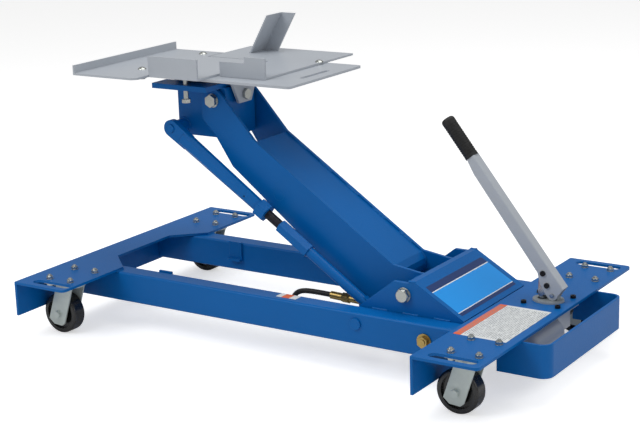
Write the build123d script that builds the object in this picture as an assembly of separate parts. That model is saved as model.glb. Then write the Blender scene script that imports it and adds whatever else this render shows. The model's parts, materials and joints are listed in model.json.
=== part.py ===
from build123d import *
import math
import os

# Low-profile transmission jack on four swivel casters.  Millimetres, +Z up.
# +X points to the pump and handle end, +Y to the left side seen from the head end.
# The origin is on the floor, under the middle of the base frame.

# ---- driving dimensions: base frame -------------------------------------------------
FRONT_X = -673.0            # front face of the front crossmember
REAR_X = 673.0              # rear face of the pump guard
HALF_WIDTH = 406.4          # half of the crossmember width
DECK_Z = 143.0              # underside of both deck plates, the height of a caster
PLATE_T = 6.35
DECK_TOP = DECK_Z + PLATE_T
FLANGE_H = 87.0             # height of the crossmember flanges, deck plate included
FRONT_DEPTH = 159.5
REAR_DECK_X = 449.0
REAR_DEPTH = 161.0
CORNER_R = 12.0
RAIL_OUTER = 203.2
RAIL_INNER = 152.4
RAIL_H = 76.2
RAIL_WALL = 4.8
RAIL_BOTTOM = DECK_Z - RAIL_H
CUT_DEPTH = 77.5            # recess in the front deck between the rails
CUT_HALF_OUT = 180.0
CUT_HALF_IN = 108.0
SLOT_LENGTH = 116.0         # carrying slots at the four ends
SLOT_WIDTH = 26.0
SLOT_Y = 377.0
FRONT_SLOT_X = -575.0
REAR_SLOT_X = 536.0

# ---- driving dimensions: lifting linkage ---------------------------------------------
ARM_LENGTH = 695.0
ARM_ANGLE = 34.0            # arm above the horizontal as modelled, degrees
PIVOT_X = 290.0
PIVOT_Z = 187.0
LINK_DX = -100.0            # link pivots lie this far from the arm pivots
LINK_DZ = -70.0
GUSSET_T = 9.5
TIE_X = 370.0               # tie rod through both rails
TIE_Z = 105.0
TIE_R = 8.0
PIVOT_BOLT_R = 12.0
PIVOT_TUBE_R = 21.0
SHAFT_R = 14.0
RUN_FIT = 0.05              # radial running clearance
GAP = 0.3                   # side gap between moving faces
ARM_HALF = 73.0
ARM_PLATE_T = 8.0
ARM_INNER = ARM_HALF - ARM_PLATE_T
ARM_TOP_V = 8.0             # top edge of the arm's sides, below the line of its pivots
LINK_Y = -109.0
LINK_HALF = 8.0
BAR_U = 420.0               # lift crossbar along the arm
BAR_V = 75.0                # and below its pivot line
BAR_R = 15.0
CYL_R = 30.0
CYL_EYE_HALF = 28.0
LUG_IN = 28.6               # inner face of the plates that hold the ram's pin
LUG_T = 9.4
LUG_R = 25.0
LUG_Z = (96.0, 132.0)
STUB_CAP = 5.0
SPACER_R = 18.0
PORT_END = -62.0            # far end of the collar that feeds the cylinder
PORT_R = 8.5
ROD_R = 16.0
PAD_GAP = 1.0

# ---- driving dimensions: head and saddle ----------------------------------------------
HEAD_FRONT = -117.0         # head box, measured from the head pivot
HEAD_REAR = 30.0
HEAD_BOTTOM = -94.6
HEAD_TOP = 30.4
HEAD_HALF = 60.0
HEAD_WALL = 8.0
HEAD_PLATE_T = 12.7
HEAD_PLATE_HALF = 130.0
HEAD_PLATE_FRONT = -141.0
TILT_DZ = 8.4               # side tilt pivot above the head pivot
TILT_BOLT_R = 8.0
CLEVIS_T = 8.0
CLEVIS_SPACER = 8.0
SADDLE_DZ = 63.4            # underside of the saddle base above the head pivot
SADDLE_T = 6.0
SADDLE_X = (-505.0, 0.0)
SADDLE_HALF = 160.0
BRACKET_T = 5.0
SCREW_Y = 118.0
SCREW_X = -332.0
SCREW_R = 6.0

# ---- driving dimensions: pump and handle ------------------------------------------------
PUMP_X = 545.5
PUMP_Y = 68.5
PUMP_PITCH = 42.5
HANDLE_PIN_X = 561.0
HANDLE_PIN_Z = 167.0
HANDLE_FOOT_X = 580.0
HANDLE_FOOT_Z = 171.0
HANDLE_ANGLE = 52.0
CHANNEL_LENGTH = 376.0
GRIP_LENGTH = 108.0
GRIP_R = 16.5
LEVER_ARM = 30.0

# ---- driving dimensions: casters ---------------------------------------------------------
CASTER_X = (-577.0, 547.4)
CASTER_Y = 300.0
CASTER_TRAIL = 34.0
WHEEL_R = 50.8
WHEEL_HALF = 19.0
FORK_IN = 21.5
FORK_T = 4.0
BOLT_DX = 33.35
BOLT_DY = 46.05
AXLE_R = 6.0

ARM_RAD = math.radians(ARM_ANGLE)
HEAD_X = PIVOT_X - ARM_LENGTH * math.cos(ARM_RAD)
HEAD_Z = PIVOT_Z + ARM_LENGTH * math.sin(ARM_RAD)
SHAFT_X = PIVOT_X + LINK_DX
SHAFT_Z = PIVOT_Z + LINK_DZ
LINK_TOP_X = HEAD_X + LINK_DX
LINK_TOP_Z = HEAD_Z + LINK_DZ
TILT_Z = HEAD_Z + TILT_DZ
SADDLE_Z = HEAD_Z + SADDLE_DZ
BRACKET_Z = SADDLE_Z + SADDLE_T + GAP


# ---- shape helpers ------------------------------------------------------------------------
def block(x, y, z):
    """Box between two limits on each axis."""
    size = (x[1] - x[0], y[1] - y[0], z[1] - z[0])
    centre = ((x[0] + x[1]) / 2, (y[0] + y[1]) / 2, (z[0] + z[1]) / 2)
    return Pos(*centre) * Box(*size)


def bar(start, end, radius):
    """Round bar between two points."""
    axis = Vector(*end) - Vector(*start)
    plane = Plane(origin=start, z_dir=axis)
    return plane * Cylinder(radius, axis.length, align=(Align.CENTER, Align.CENTER, Align.MIN))


def ring(start, end, outer, inner):
    """Round tube between two points."""
    return bar(start, end, outer) - bar(start, end, inner)


def hexagon(start, end, across):
    """Hexagonal bar between two points, measured across flats."""
    axis = Vector(*end) - Vector(*start)
    profile = Plane(origin=start, z_dir=axis) * RegularPolygon(across / math.sqrt(3), 6)
    return extrude(profile, amount=axis.length, dir=axis.normalized())


def side_plate(points, y0, y1):
    """Flat plate from an outline in X and Z, between two Y values."""
    outline = Polyline(*[(x, y0, z) for x, z in points], close=True)
    return extrude(make_face(outline), amount=y1 - y0, dir=(0, 1, 0))


def flat_plate(points, z0, z1):
    """Flat plate from an outline in X and Y, between two heights."""
    outline = Polyline(*[(x, y, z0) for x, y in points], close=True)
    return extrude(make_face(outline), amount=z1 - z0, dir=(0, 0, 1))


def end_plate(points, x0, x1):
    """Flat plate from an outline in Y and Z, between two X values."""
    outline = Polyline(*[(x0, y, z) for y, z in points], close=True)
    return extrude(make_face(outline), amount=x1 - x0, dir=(1, 0, 0))


def slot_x(x, y, length, width, z0, z1):
    """Round-ended slot along X."""
    half = (length - width) / 2
    ends = [bar((x + s * half, y, z0), (x + s * half, y, z1), width / 2) for s in (-1, 1)]
    return block((x - half, x + half), (y - width / 2, y + width / 2), (z0, z1)) + ends


def slot_y(x, y, length, width, z0, z1):
    """Round-ended slot along Y."""
    half = (length - width) / 2
    ends = [bar((x, y + s * half, z0), (x, y + s * half, z1), width / 2) for s in (-1, 1)]
    return block((x - width / 2, x + width / 2), (y - half, y + half), (z0, z1)) + ends


def arm_point(u, v):
    """Point of the arm in X and Z: u runs from its pivot to the head, v below that line."""
    x = PIVOT_X - u * math.cos(ARM_RAD) - v * math.sin(ARM_RAD)
    z = PIVOT_Z + u * math.sin(ARM_RAD) - v * math.cos(ARM_RAD)
    return x, z


def group(*solids):
    """Several separate solids that share one node."""
    return Compound(children=list(solids))


def vertical_edges(part, radius, corners):
    """Round the vertical edges nearest to the given X and Y corners."""
    picked = []
    upright = part.edges().filter_by(Axis.Z)
    for x, y in corners:
        picked.append(min(upright, key=lambda e: math.hypot(e.center().X - x, e.center().Y - y)))
    return fillet(picked, radius)


# ---- base frame --------------------------------------------------------------------------
def make_rail(side):
    y = sorted((side * RAIL_INNER, side * RAIL_OUTER))
    x = (FRONT_X + PLATE_T, REAR_DECK_X)
    rail = block(x, y, (RAIL_BOTTOM, DECK_Z))
    rail = fillet(rail.edges().filter_by(Axis.X), 6.0)
    hollow = block((x[0] - 1, x[1] + 1), (y[0] + RAIL_WALL, y[1] - RAIL_WALL),
                   (RAIL_BOTTOM + RAIL_WALL, DECK_Z - RAIL_WALL))
    rail -= hollow
    for hole_x, hole_z, radius in ((SHAFT_X, SHAFT_Z, SHAFT_R), (TIE_X, TIE_Z, TIE_R)):
        rail -= bar((hole_x, y[0] - 1, hole_z), (hole_x, y[1] + 1, hole_z), radius)
    return rail


def caster_bolt_points():
    return [(cx + dx, sy * CASTER_Y + dy) for cx in CASTER_X for sy in (-1, 1)
            for dx in (-BOLT_DX, BOLT_DX) for dy in (-BOLT_DY, BOLT_DY)]


def deck_holes(part, limits):
    for x, y in caster_bolt_points():
        if limits[0] < x < limits[1]:
            part -= bar((x, y, DECK_Z - 1), (x, y, DECK_TOP + 1), 5.0)
    return part


def make_front_crossmember():
    rear = FRONT_X + FRONT_DEPTH
    inner = rear - CUT_DEPTH
    deck = flat_plate([(FRONT_X, -HALF_WIDTH), (rear, -HALF_WIDTH), (rear, -CUT_HALF_OUT),
                       (inner, -CUT_HALF_IN), (inner, CUT_HALF_IN), (rear, CUT_HALF_OUT),
                       (rear, HALF_WIDTH), (FRONT_X, HALF_WIDTH)], DECK_Z, DECK_TOP)
    deck = vertical_edges(deck, CORNER_R, [(rear, -HALF_WIDTH), (rear, HALF_WIDTH)])
    for side in (-1, 1):
        deck -= slot_x(FRONT_SLOT_X, side * SLOT_Y, SLOT_LENGTH, SLOT_WIDTH, DECK_Z - 1, DECK_TOP + 1)
    deck = deck_holes(deck, (FRONT_X, rear))
    flange = block((FRONT_X, FRONT_X + PLATE_T), (-HALF_WIDTH, HALF_WIDTH),
                   (DECK_TOP - FLANGE_H, DECK_TOP))
    return deck + flange


HOSE_HOLE_Y = 1.0
HOSE_HOLE_Z = 90.0


def make_rear_crossmember():
    rear = REAR_DECK_X + REAR_DEPTH
    deck = block((REAR_DECK_X, rear), (-HALF_WIDTH, HALF_WIDTH), (DECK_Z, DECK_TOP))
    deck = vertical_edges(deck, CORNER_R, [(rear, -HALF_WIDTH), (rear, HALF_WIDTH)])
    for side in (-1, 1):
        deck -= slot_x(REAR_SLOT_X, side * SLOT_Y, SLOT_LENGTH, SLOT_WIDTH, DECK_Z - 1, DECK_TOP + 1)
    deck = deck_holes(deck, (REAR_DECK_X, rear))
    deck -= bar((HANDLE_PIN_X - LEVER_ARM, PUMP_Y, DECK_Z - 1),
                (HANDLE_PIN_X - LEVER_ARM, PUMP_Y, DECK_TOP + 1), 16.0)
    for x, y in pump_screw_points():
        deck -= bar((x, y, DECK_Z - 1), (x, y, DECK_TOP + 1), 4.0)
    flange = block((REAR_DECK_X, REAR_DECK_X + PLATE_T), (-HALF_WIDTH, HALF_WIDTH),
                   (DECK_TOP - FLANGE_H, DECK_TOP))
    flange -= bar((REAR_DECK_X - 1, HOSE_HOLE_Y, HOSE_HOLE_Z),
                  (REAR_DECK_X + PLATE_T + 1, HOSE_HOLE_Y, HOSE_HOLE_Z), 15.0)
    return deck + flange


def make_gusset(side):
    y = sorted((side * RAIL_INNER, side * (RAIL_INNER - GUSSET_T)))
    plate = side_plate([(169, DECK_Z), (262, 216), (316, 216), (441, DECK_Z), (430, 92), (180, 92)],
                       y[0], y[1])
    plate -= bar((PIVOT_X, y[0] - 1, PIVOT_Z), (PIVOT_X, y[1] + 1, PIVOT_Z), PIVOT_BOLT_R)
    plate -= bar((SHAFT_X, y[0] - 1, SHAFT_Z), (SHAFT_X, y[1] + 1, SHAFT_Z), SHAFT_R)
    plate -= bar((TIE_X, y[0] - 1, TIE_Z), (TIE_X, y[1] + 1, TIE_Z), TIE_R)
    return plate


def make_cover_plate():
    return side_plate([(302, 216), (316, 216), (441, DECK_Z), (443.5, 147.3), (317.4, 221), (302, 221)],
                      -RAIL_INNER, RAIL_INNER)


def make_pump_guard():
    start = 549.0
    strip = 6.0
    outer = block((start, REAR_X), (-RAIL_OUTER, RAIL_OUTER), (RAIL_BOTTOM, DECK_Z))
    outer = vertical_edges(outer, 26.0, [(REAR_X, -RAIL_OUTER), (REAR_X, RAIL_OUTER)])
    inner = block((start - 1, REAR_X - strip), (strip - RAIL_OUTER, RAIL_OUTER - strip),
                  (RAIL_BOTTOM - 1, DECK_Z + 1))
    inner = vertical_edges(inner, 20.0, [(REAR_X - strip, strip - RAIL_OUTER),
                                         (REAR_X - strip, RAIL_OUTER - strip)])
    return outer - inner


def make_rest_bracket(side):
    face = side * RAIL_INNER
    upright = block((-420, -381), sorted((face, face - side * 6)), (95, 146))
    foot = block((-420, -381), sorted((face, face - side * 15)), (95, 101))
    return upright + foot


def shaft_point(y):
    return (SHAFT_X, y, SHAFT_Z)


def make_ram_lug(side):
    """Longitudinal plate, welded to the rear flange, that holds one end of the ram's pin."""
    y = sorted((side * LUG_IN, side * (LUG_IN + LUG_T)))
    plate = side_plate([(SHAFT_X, LUG_Z[0]), (REAR_DECK_X, LUG_Z[0]), (REAR_DECK_X, LUG_Z[1]),
                        (SHAFT_X, LUG_Z[1])], y[0], y[1])
    plate += bar(shaft_point(y[0]), shaft_point(y[1]), LUG_R)
    plate -= bar(shaft_point(y[0] - 1), shaft_point(y[1] + 1), SHAFT_R)
    plate -= bar((TIE_X, y[0] - 1, TIE_Z), (TIE_X, y[1] + 1, TIE_Z), TIE_R)
    return plate


def make_cross_shaft():
    """Stub through each rail and gusset, and the ram's pin between its lugs, on one line."""
    end = RAIL_OUTER + 4.0
    face = RAIL_INNER - GUSSET_T
    link_in = LINK_Y + LINK_HALF + GAP
    link_out = LINK_Y - LINK_HALF - GAP
    right = bar(shaft_point(-end), shaft_point(link_in + STUB_CAP), SHAFT_R)
    right += bar(shaft_point(-face), shaft_point(link_out), SPACER_R)
    right += bar(shaft_point(link_in), shaft_point(link_in + STUB_CAP), SPACER_R)
    left = bar(shaft_point(face - STUB_CAP), shaft_point(end), SHAFT_R)
    left += bar(shaft_point(face - STUB_CAP), shaft_point(face), SPACER_R)
    pin = bar(shaft_point(PORT_END - 2.0), shaft_point(LUG_IN + LUG_T + 6.0), SHAFT_R)
    return group(right, left, pin)


def make_arm_pivot_bolts():
    bolts = []
    for side in (-1, 1):
        face = side * RAIL_INNER
        shank = bar((PIVOT_X, face, PIVOT_Z), (PIVOT_X, side * 92.0, PIVOT_Z), PIVOT_BOLT_R)
        washer = bar((PIVOT_X, face, PIVOT_Z), (PIVOT_X, face + side * 2.5, PIVOT_Z), 18.0)
        head = hexagon((PIVOT_X, face + side * 2.5, PIVOT_Z), (PIVOT_X, face + side * 13, PIVOT_Z), 30.0)
        bolts.append(shank + washer + head)
    return group(*bolts)


def make_tie_rod():
    end = RAIL_OUTER
    rod = bar((TIE_X, -end - 14, TIE_Z), (TIE_X, end + 14, TIE_Z), TIE_R)
    pieces = [rod]
    for side in (-1, 1):
        a, b, c = end, end + 3.0, end + 12.0
        washer = ring((TIE_X, side * a, TIE_Z), (TIE_X, side * b, TIE_Z), 18.0, TIE_R)
        nut = hexagon((TIE_X, side * b, TIE_Z), (TIE_X, side * c, TIE_Z), 24.0)
        nut -= bar((TIE_X, side * (b - 1), TIE_Z), (TIE_X, side * (c + 1), TIE_Z), TIE_R)
        pieces += [washer, nut]
    return group(*pieces)


# ---- arm -----------------------------------------------------------------------------------
def make_arm_side(side):
    """Side plate with its tail round the pivot, a deep belly and an ear at the head."""
    y = sorted((side * ARM_INNER, side * ARM_HALF))
    ear = [(36.0, 4.0), (16.2, 24.0), (8.0, 28.0), (-8.0, 28.2), (-22.0, 22.5), (-33.0, 13.0),
           (-34.0, -47.0), (3.0, -85.0)]
    top = [arm_point(6.6, -29.3), arm_point(83.4, ARM_TOP_V), arm_point(545.0, ARM_TOP_V)]
    head = [(HEAD_X + dx, HEAD_Z + dz) for dx, dz in ear]
    belly = [arm_point(562.5, 103.2), arm_point(306.6, 120.5), arm_point(95.0, 130.0),
             arm_point(0.0, 62.0), arm_point(-22.0, 20.0)]
    plate = side_plate(top + head + belly, y[0], y[1])
    plate += bar((PIVOT_X, y[0], PIVOT_Z), (PIVOT_X, y[1], PIVOT_Z), 30.0)
    y_low, y_high = y[0] - 1, y[1] + 1
    plate -= bar((PIVOT_X, y_low, PIVOT_Z), (PIVOT_X, y_high, PIVOT_Z), PIVOT_TUBE_R)
    plate -= bar((HEAD_X, y_low, HEAD_Z), (HEAD_X, y_high, HEAD_Z), 10.0)
    bar_x, bar_z = arm_point(BAR_U, BAR_V)
    plate -= bar((bar_x, y_low, bar_z), (bar_x, y_high, bar_z), BAR_R)
    return plate


def arm_cross_plate(points):
    """Plate between the two arm sides, from an outline along the arm."""
    return side_plate([arm_point(u, v) for u, v in points], -ARM_INNER, ARM_INNER)


def make_arm_top_plate():
    face = ARM_TOP_V + 4.0
    back = face + ARM_PLATE_T
    return arm_cross_plate([(545.0, face), (83.4, face), (66.0, face + 6.0), (58.0, face + 17.0),
                            (52.0, face + 32.0), (60.0, face + 34.0), (66.0, face + 24.0),
                            (86.0, back), (545.0, back)])


def make_arm_bottom_plate():
    return arm_cross_plate([(540.0, 96.0), (460.0, 102.0), (460.0, 110.0), (540.0, 104.0)])


def make_pivot_tube():
    end = RAIL_INNER - GUSSET_T - GAP
    return ring((PIVOT_X, -end, PIVOT_Z), (PIVOT_X, end, PIVOT_Z), PIVOT_TUBE_R,
                PIVOT_BOLT_R + RUN_FIT)


def make_lift_crossbar():
    x, z = arm_point(BAR_U, BAR_V)
    return bar((x, -ARM_HALF, z), (x, ARM_HALF, z), BAR_R)


def make_head_pivot_bolts():
    bolts = []
    for side in (-1, 1):
        face = side * ARM_HALF
        shank = bar((HEAD_X, face, HEAD_Z), (HEAD_X, side * 38.0, HEAD_Z), 10.0)
        washer = bar((HEAD_X, face, HEAD_Z), (HEAD_X, face + side * 2.5, HEAD_Z), 17.0)
        head = hexagon((HEAD_X, face + side * 2.5, HEAD_Z), (HEAD_X, face + side * 13, HEAD_Z), 28.0)
        nut = bar((HEAD_X, side * 51.7, HEAD_Z), (HEAD_X, side * 41.0, HEAD_Z), 16.0)
        bolts.append(shank + washer + head + nut)
    return group(*bolts)


# ---- head ----------------------------------------------------------------------------------
def make_head_box():
    x = (HEAD_X + HEAD_FRONT, HEAD_X + HEAD_REAR)
    z = (HEAD_Z + HEAD_BOTTOM, HEAD_Z + HEAD_TOP)
    box = block(x, (-HEAD_HALF, HEAD_HALF), z)
    inside = HEAD_HALF - HEAD_WALL
    box -= block((x[0] + HEAD_WALL, x[1] - HEAD_WALL), (-inside, inside), (z[0] - 1, z[1] + 1))
    box -= bar((HEAD_X, -HEAD_HALF - 1, HEAD_Z), (HEAD_X, HEAD_HALF + 1, HEAD_Z), 10.0 + RUN_FIT)
    box -= bar((x[0] - 1, 0, TILT_Z), (x[1] + 1, 0, TILT_Z), TILT_BOLT_R)
    box -= bar((LINK_TOP_X, -HEAD_HALF - 1, LINK_TOP_Z), (LINK_TOP_X, -inside + 1, LINK_TOP_Z), 10.0)
    return box


def make_head_plate():
    front = HEAD_X + HEAD_PLATE_FRONT
    notch = HEAD_X + HEAD_FRONT
    rear = HEAD_X + HEAD_REAR - 6.0
    z = (HEAD_Z + HEAD_TOP, HEAD_Z + HEAD_TOP + HEAD_PLATE_T)
    outline = [(front, -HEAD_PLATE_HALF), (rear, -HEAD_PLATE_HALF), (rear, HEAD_PLATE_HALF),
               (front, HEAD_PLATE_HALF), (front, 72.0), (notch, 72.0), (notch, -72.0), (front, -72.0)]
    plate = flat_plate(outline, z[0], z[1])
    for side in (-1, 1):
        y = side * SCREW_Y
        plate -= bar((SCREW_X, y, z[0] - 1), (SCREW_X, y, z[1] + 1), SCREW_R + RUN_FIT)
    return plate


def make_link_upper_pin():
    """Boss on the head box with the pin that carries the top of the link."""
    boss_end = LINK_Y + LINK_HALF + GAP
    boss = bar((LINK_TOP_X, -HEAD_HALF, LINK_TOP_Z), (LINK_TOP_X, boss_end, LINK_TOP_Z), 16.0)
    pin = bar((LINK_TOP_X, -HEAD_HALF + HEAD_WALL, LINK_TOP_Z),
              (LINK_TOP_X, LINK_Y - LINK_HALF - 3.0, LINK_TOP_Z), 10.0)
    return boss + pin


def make_tilt_pivot_bolts():
    front = HEAD_X + HEAD_FRONT
    rear = HEAD_X + HEAD_REAR
    pieces = []
    for face, side, spacer in ((front, -1, 0.0), (rear, 1, CLEVIS_SPACER)):
        outer = face + side * (spacer + GAP + CLEVIS_T + GAP)
        inner = face - side * 20.0
        shank = bar((outer, 0, TILT_Z), (inner, 0, TILT_Z), TILT_BOLT_R)
        head = hexagon((outer, 0, TILT_Z), (outer + side * 8.0, 0, TILT_Z), 24.0)
        nut_face = face - side * HEAD_WALL
        nut = bar((nut_face, 0, TILT_Z), (nut_face - side * 10.0, 0, TILT_Z), 13.0)
        bolt = shank + head + nut
        if spacer:
            bolt += bar((face, 0, TILT_Z), (face + side * spacer, 0, TILT_Z), 15.0)
        pieces.append(bolt)
    return group(*pieces)


# ---- link ----------------------------------------------------------------------------------
def link_point(s, y=LINK_Y):
    """Point on the link, s measured from its top pin towards the base."""
    return (LINK_TOP_X + s * math.cos(ARM_RAD), y, LINK_TOP_Z - s * math.sin(ARM_RAD))


LINK_BAR_END = 333.0
SLEEVE_SPAN = (378.0, 474.0)
THREAD_R = 11.0


def make_link_bar():
    """Flattened eye that runs into a hollow eight-sided bar with a collar nut at its foot."""
    eye = bar(link_point(0, LINK_Y - LINK_HALF), link_point(0, LINK_Y + LINK_HALF), 21.0)
    neck = side_plate([link_offset(0, -21), link_offset(60, -19), link_offset(60, 19),
                       link_offset(0, 21)], LINK_Y - LINK_HALF, LINK_Y + LINK_HALF)
    body = loft([link_section(40.0, 20.0), link_section(LINK_BAR_END - 28.0, 15.5)])
    collar = hexagon(link_point(LINK_BAR_END - 28.0), link_point(LINK_BAR_END), 42.0)
    link = eye + neck + body + collar
    link -= bar(link_point(0, LINK_Y - 20), link_point(0, LINK_Y + 20), 10.0 + RUN_FIT)
    link -= bar(link_point(150.0), link_point(LINK_BAR_END + 1), THREAD_R)
    link -= bar(link_point(262.0, LINK_Y - 20), link_point(262.0, LINK_Y), 2.5)
    return link


def link_section(s, half):
    """Eight-sided section of the link bar."""
    edge, flat, side = 5.0, half - 9.0, 13.0
    corners = [(-half, -edge), (-flat, -side), (flat, -side), (half, -edge),
               (half, edge), (flat, side), (-flat, side), (-half, edge)]
    plane = Plane(origin=link_point(s), x_dir=link_normal(), z_dir=link_axis())
    return plane * make_face(Polyline(*corners, close=True))


def link_axis():
    return Vector(math.cos(ARM_RAD), 0, -math.sin(ARM_RAD))


def link_normal():
    return Vector(math.sin(ARM_RAD), 0, math.cos(ARM_RAD))


def link_offset(s, offset):
    """X and Z of a point beside the link line; positive offsets lie above it."""
    x, _, z = link_point(s)
    return x + offset * math.sin(ARM_RAD), z + offset * math.cos(ARM_RAD)


def make_link_threaded_rod():
    return bar(link_point(170.0), link_point(470.0 - 30.0), THREAD_R)


def make_link_sleeve():
    sleeve = hexagon(link_point(SLEEVE_SPAN[0]), link_point(SLEEVE_SPAN[1]), 31.0)
    sleeve -= bar(link_point(SLEEVE_SPAN[0] - 1), link_point(446.0), THREAD_R + RUN_FIT)
    sleeve -= bar(link_point(446.0), link_point(SLEEVE_SPAN[1] + 1), 12.7 + RUN_FIT)
    return sleeve


def make_link_lower_rod():
    round_end = ARM_LENGTH - 34.0
    rod = bar(link_point(450.0), link_point(round_end), 12.7)
    rod += side_plate([link_offset(round_end - 10, -12.7), link_offset(ARM_LENGTH, -12.7),
                       link_offset(ARM_LENGTH, 12.7), link_offset(round_end - 10, 12.7)],
                      LINK_Y - LINK_HALF, LINK_Y + LINK_HALF)
    rod += bar(link_point(ARM_LENGTH, LINK_Y - LINK_HALF), link_point(ARM_LENGTH, LINK_Y + LINK_HALF), 23.0)
    rod -= bar(link_point(ARM_LENGTH, LINK_Y - 20), link_point(ARM_LENGTH, LINK_Y + 20), SHAFT_R + RUN_FIT)
    return rod


# ---- hydraulic cylinder ----------------------------------------------------------------------
BAR_X, BAR_Z = arm_point(BAR_U, BAR_V)
CYL_REACH = math.hypot(BAR_X - SHAFT_X, BAR_Z - SHAFT_Z)
GLAND_END = 276.0
BORE_R = 22.5
PAD_FACE = CYL_REACH - BAR_R - PAD_GAP


def cyl_point(s):
    """Point on the cylinder axis, s measured from the cross shaft."""
    t = s / CYL_REACH
    return (SHAFT_X + t * (BAR_X - SHAFT_X), 0.0, SHAFT_Z + t * (BAR_Z - SHAFT_Z))


def make_cylinder_barrel():
    barrel = bar(cyl_point(32.0), cyl_point(GLAND_END - 14.0), CYL_R)
    barrel += bar(cyl_point(0.0), cyl_point(34.0), CYL_EYE_HALF - 1.0)
    barrel += bar((SHAFT_X, -CYL_EYE_HALF, SHAFT_Z), (SHAFT_X, CYL_EYE_HALF, SHAFT_Z), 29.0)
    barrel -= bar(cyl_point(42.0), cyl_point(GLAND_END), BORE_R)
    barrel -= bar((SHAFT_X, -40, SHAFT_Z), (SHAFT_X, 40, SHAFT_Z), SHAFT_R + RUN_FIT)
    return barrel


def make_cylinder_gland():
    collar = ring(cyl_point(GLAND_END - 14.0), cyl_point(GLAND_END), CYL_R, ROD_R + RUN_FIT)
    plug = ring(cyl_point(GLAND_END - 34.0), cyl_point(GLAND_END - 14.0), BORE_R, ROD_R + RUN_FIT)
    return collar + plug


def make_cylinder_rod():
    tail = PAD_FACE - 250.0
    piston = bar(cyl_point(tail), cyl_point(tail + 22.0), BORE_R - RUN_FIT)
    rod = bar(cyl_point(tail), cyl_point(PAD_FACE - 12.0), ROD_R)
    pad = bar(cyl_point(PAD_FACE - 12.0), cyl_point(PAD_FACE), 25.0)
    return piston + rod + pad


# ---- saddle ------------------------------------------------------------------------------------
FRONT_BOLTS = [(-457.0, -128.0), (-457.0, 121.0)]
REAR_BOLTS = [(-107.0, 133.0), (-200.0, -20.0)]
FRONT_TRAVEL = 40.0
REAR_TRAVEL = 15.0
REAR_SLOT = 89.0
FREE_SLOT_X = -37.0
FREE_SLOT = 120.0
CARRIAGE_R = 6.0


def make_saddle_base():
    z = (SADDLE_Z, SADDLE_Z + SADDLE_T)
    base = block(SADDLE_X, (-SADDLE_HALF, SADDLE_HALF), z)
    corners = [(x, y) for x in SADDLE_X for y in (-SADDLE_HALF, SADDLE_HALF)]
    base = vertical_edges(base, 10.0, corners)
    width = 2 * CARRIAGE_R + 2.0
    for x, y in FRONT_BOLTS:
        base -= slot_x(x - FRONT_TRAVEL / 2, y, FRONT_TRAVEL + width, width, z[0] - 1, z[1] + 1)
    for x, y in REAR_BOLTS:
        far_end = y + REAR_TRAVEL + width / 2
        base -= slot_y(x, far_end - REAR_SLOT / 2, REAR_SLOT, width, z[0] - 1, z[1] + 1)
    base -= slot_y(FREE_SLOT_X, 5.0, FREE_SLOT, width, z[0] - 1, z[1] + 1)
    return base


def clevis(x0, x1):
    bottom = TILT_Z - 20.0
    plate = end_plate([(-25, bottom), (25, bottom), (62, SADDLE_Z), (-62, SADDLE_Z)], x0, x1)
    return plate - bar((x0 - 1, 0, TILT_Z), (x1 + 1, 0, TILT_Z), TILT_BOLT_R + RUN_FIT)


def make_saddle_clevises():
    front = HEAD_X + HEAD_FRONT - GAP
    rear = HEAD_X + HEAD_REAR + CLEVIS_SPACER + GAP
    return group(clevis(front - CLEVIS_T, front), clevis(rear, rear + CLEVIS_T))


def make_tilt_screw(side):
    y = side * SCREW_Y
    top = SADDLE_Z - 0.6
    head = HEAD_Z + HEAD_TOP - 22.0
    shank = bar((SCREW_X, y, head), (SCREW_X, y, top), SCREW_R)
    shank = chamfer(shank.edges().group_by(Axis.Z)[-1], 2.0)
    return shank + hexagon((SCREW_X, y, head - 9.0), (SCREW_X, y, head), 20.0)


FRONT_BRACKET_X = (-580.0, -387.0, -241.0)
FRONT_BRACKET_Y = (-243.0, -190.0, 92.0, 162.0)


def make_front_bracket():
    """Bent plate with a low rear lip along its outer edge and a tall flange on its near edge."""
    x0, x1, x2 = FRONT_BRACKET_X
    y0, y1, y2, y3 = FRONT_BRACKET_Y
    z = (BRACKET_Z, BRACKET_Z + BRACKET_T)
    inner = REAR_BRACKET_X[0] - 3.0
    plate = flat_plate([(x0, y0), (x1 - 12, y0), (x1, y0 + 12), (x1, y1), (x2, y1), (x2, y2),
                        (inner, y2), (inner, y3), (x0, y3)], z[0], z[1])
    lip = block((x0, x0 + BRACKET_T), (y0, y3), (z[0], z[0] + 24.0))
    flange = block((x1, x2), (y1, y1 + BRACKET_T), (z[0], z[0] + 50.8))
    part = plate + lip + flange
    for x, y in FRONT_BOLTS:
        part -= bar((x, y, z[0] - 1), (x, y, z[1] + 1), CARRIAGE_R)
    return part


REAR_BRACKET_X = (-418.0, -232.0, -100.0)
REAR_BRACKET_Y = (-112.0, 97.0, 280.0)


def make_rear_bracket():
    """Plate that nests with the front bracket, with a stepped flange on its near edge."""
    x0, x1, x2 = REAR_BRACKET_X
    y0, y1, y2 = REAR_BRACKET_Y
    z = (BRACKET_Z, BRACKET_Z + BRACKET_T)
    plate = flat_plate([(x1, y0), (x2, y0), (x2, y2), (x0, y2), (x0, y1), (x1, y1)], z[0], z[1])
    step = x1 + 73.0
    flange = side_plate([(x1, z[0]), (x2, z[0]), (x2, z[0] + 50.8), (step, z[0] + 50.8),
                         (step, z[0] + 36.0), (x1, z[0] + 36.0)], y0, y0 + BRACKET_T)
    part = plate + flange
    for x, y in REAR_BOLTS:
        part -= bar((x, y, z[0] - 1), (x, y, z[1] + 1), CARRIAGE_R)
    return part


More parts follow.
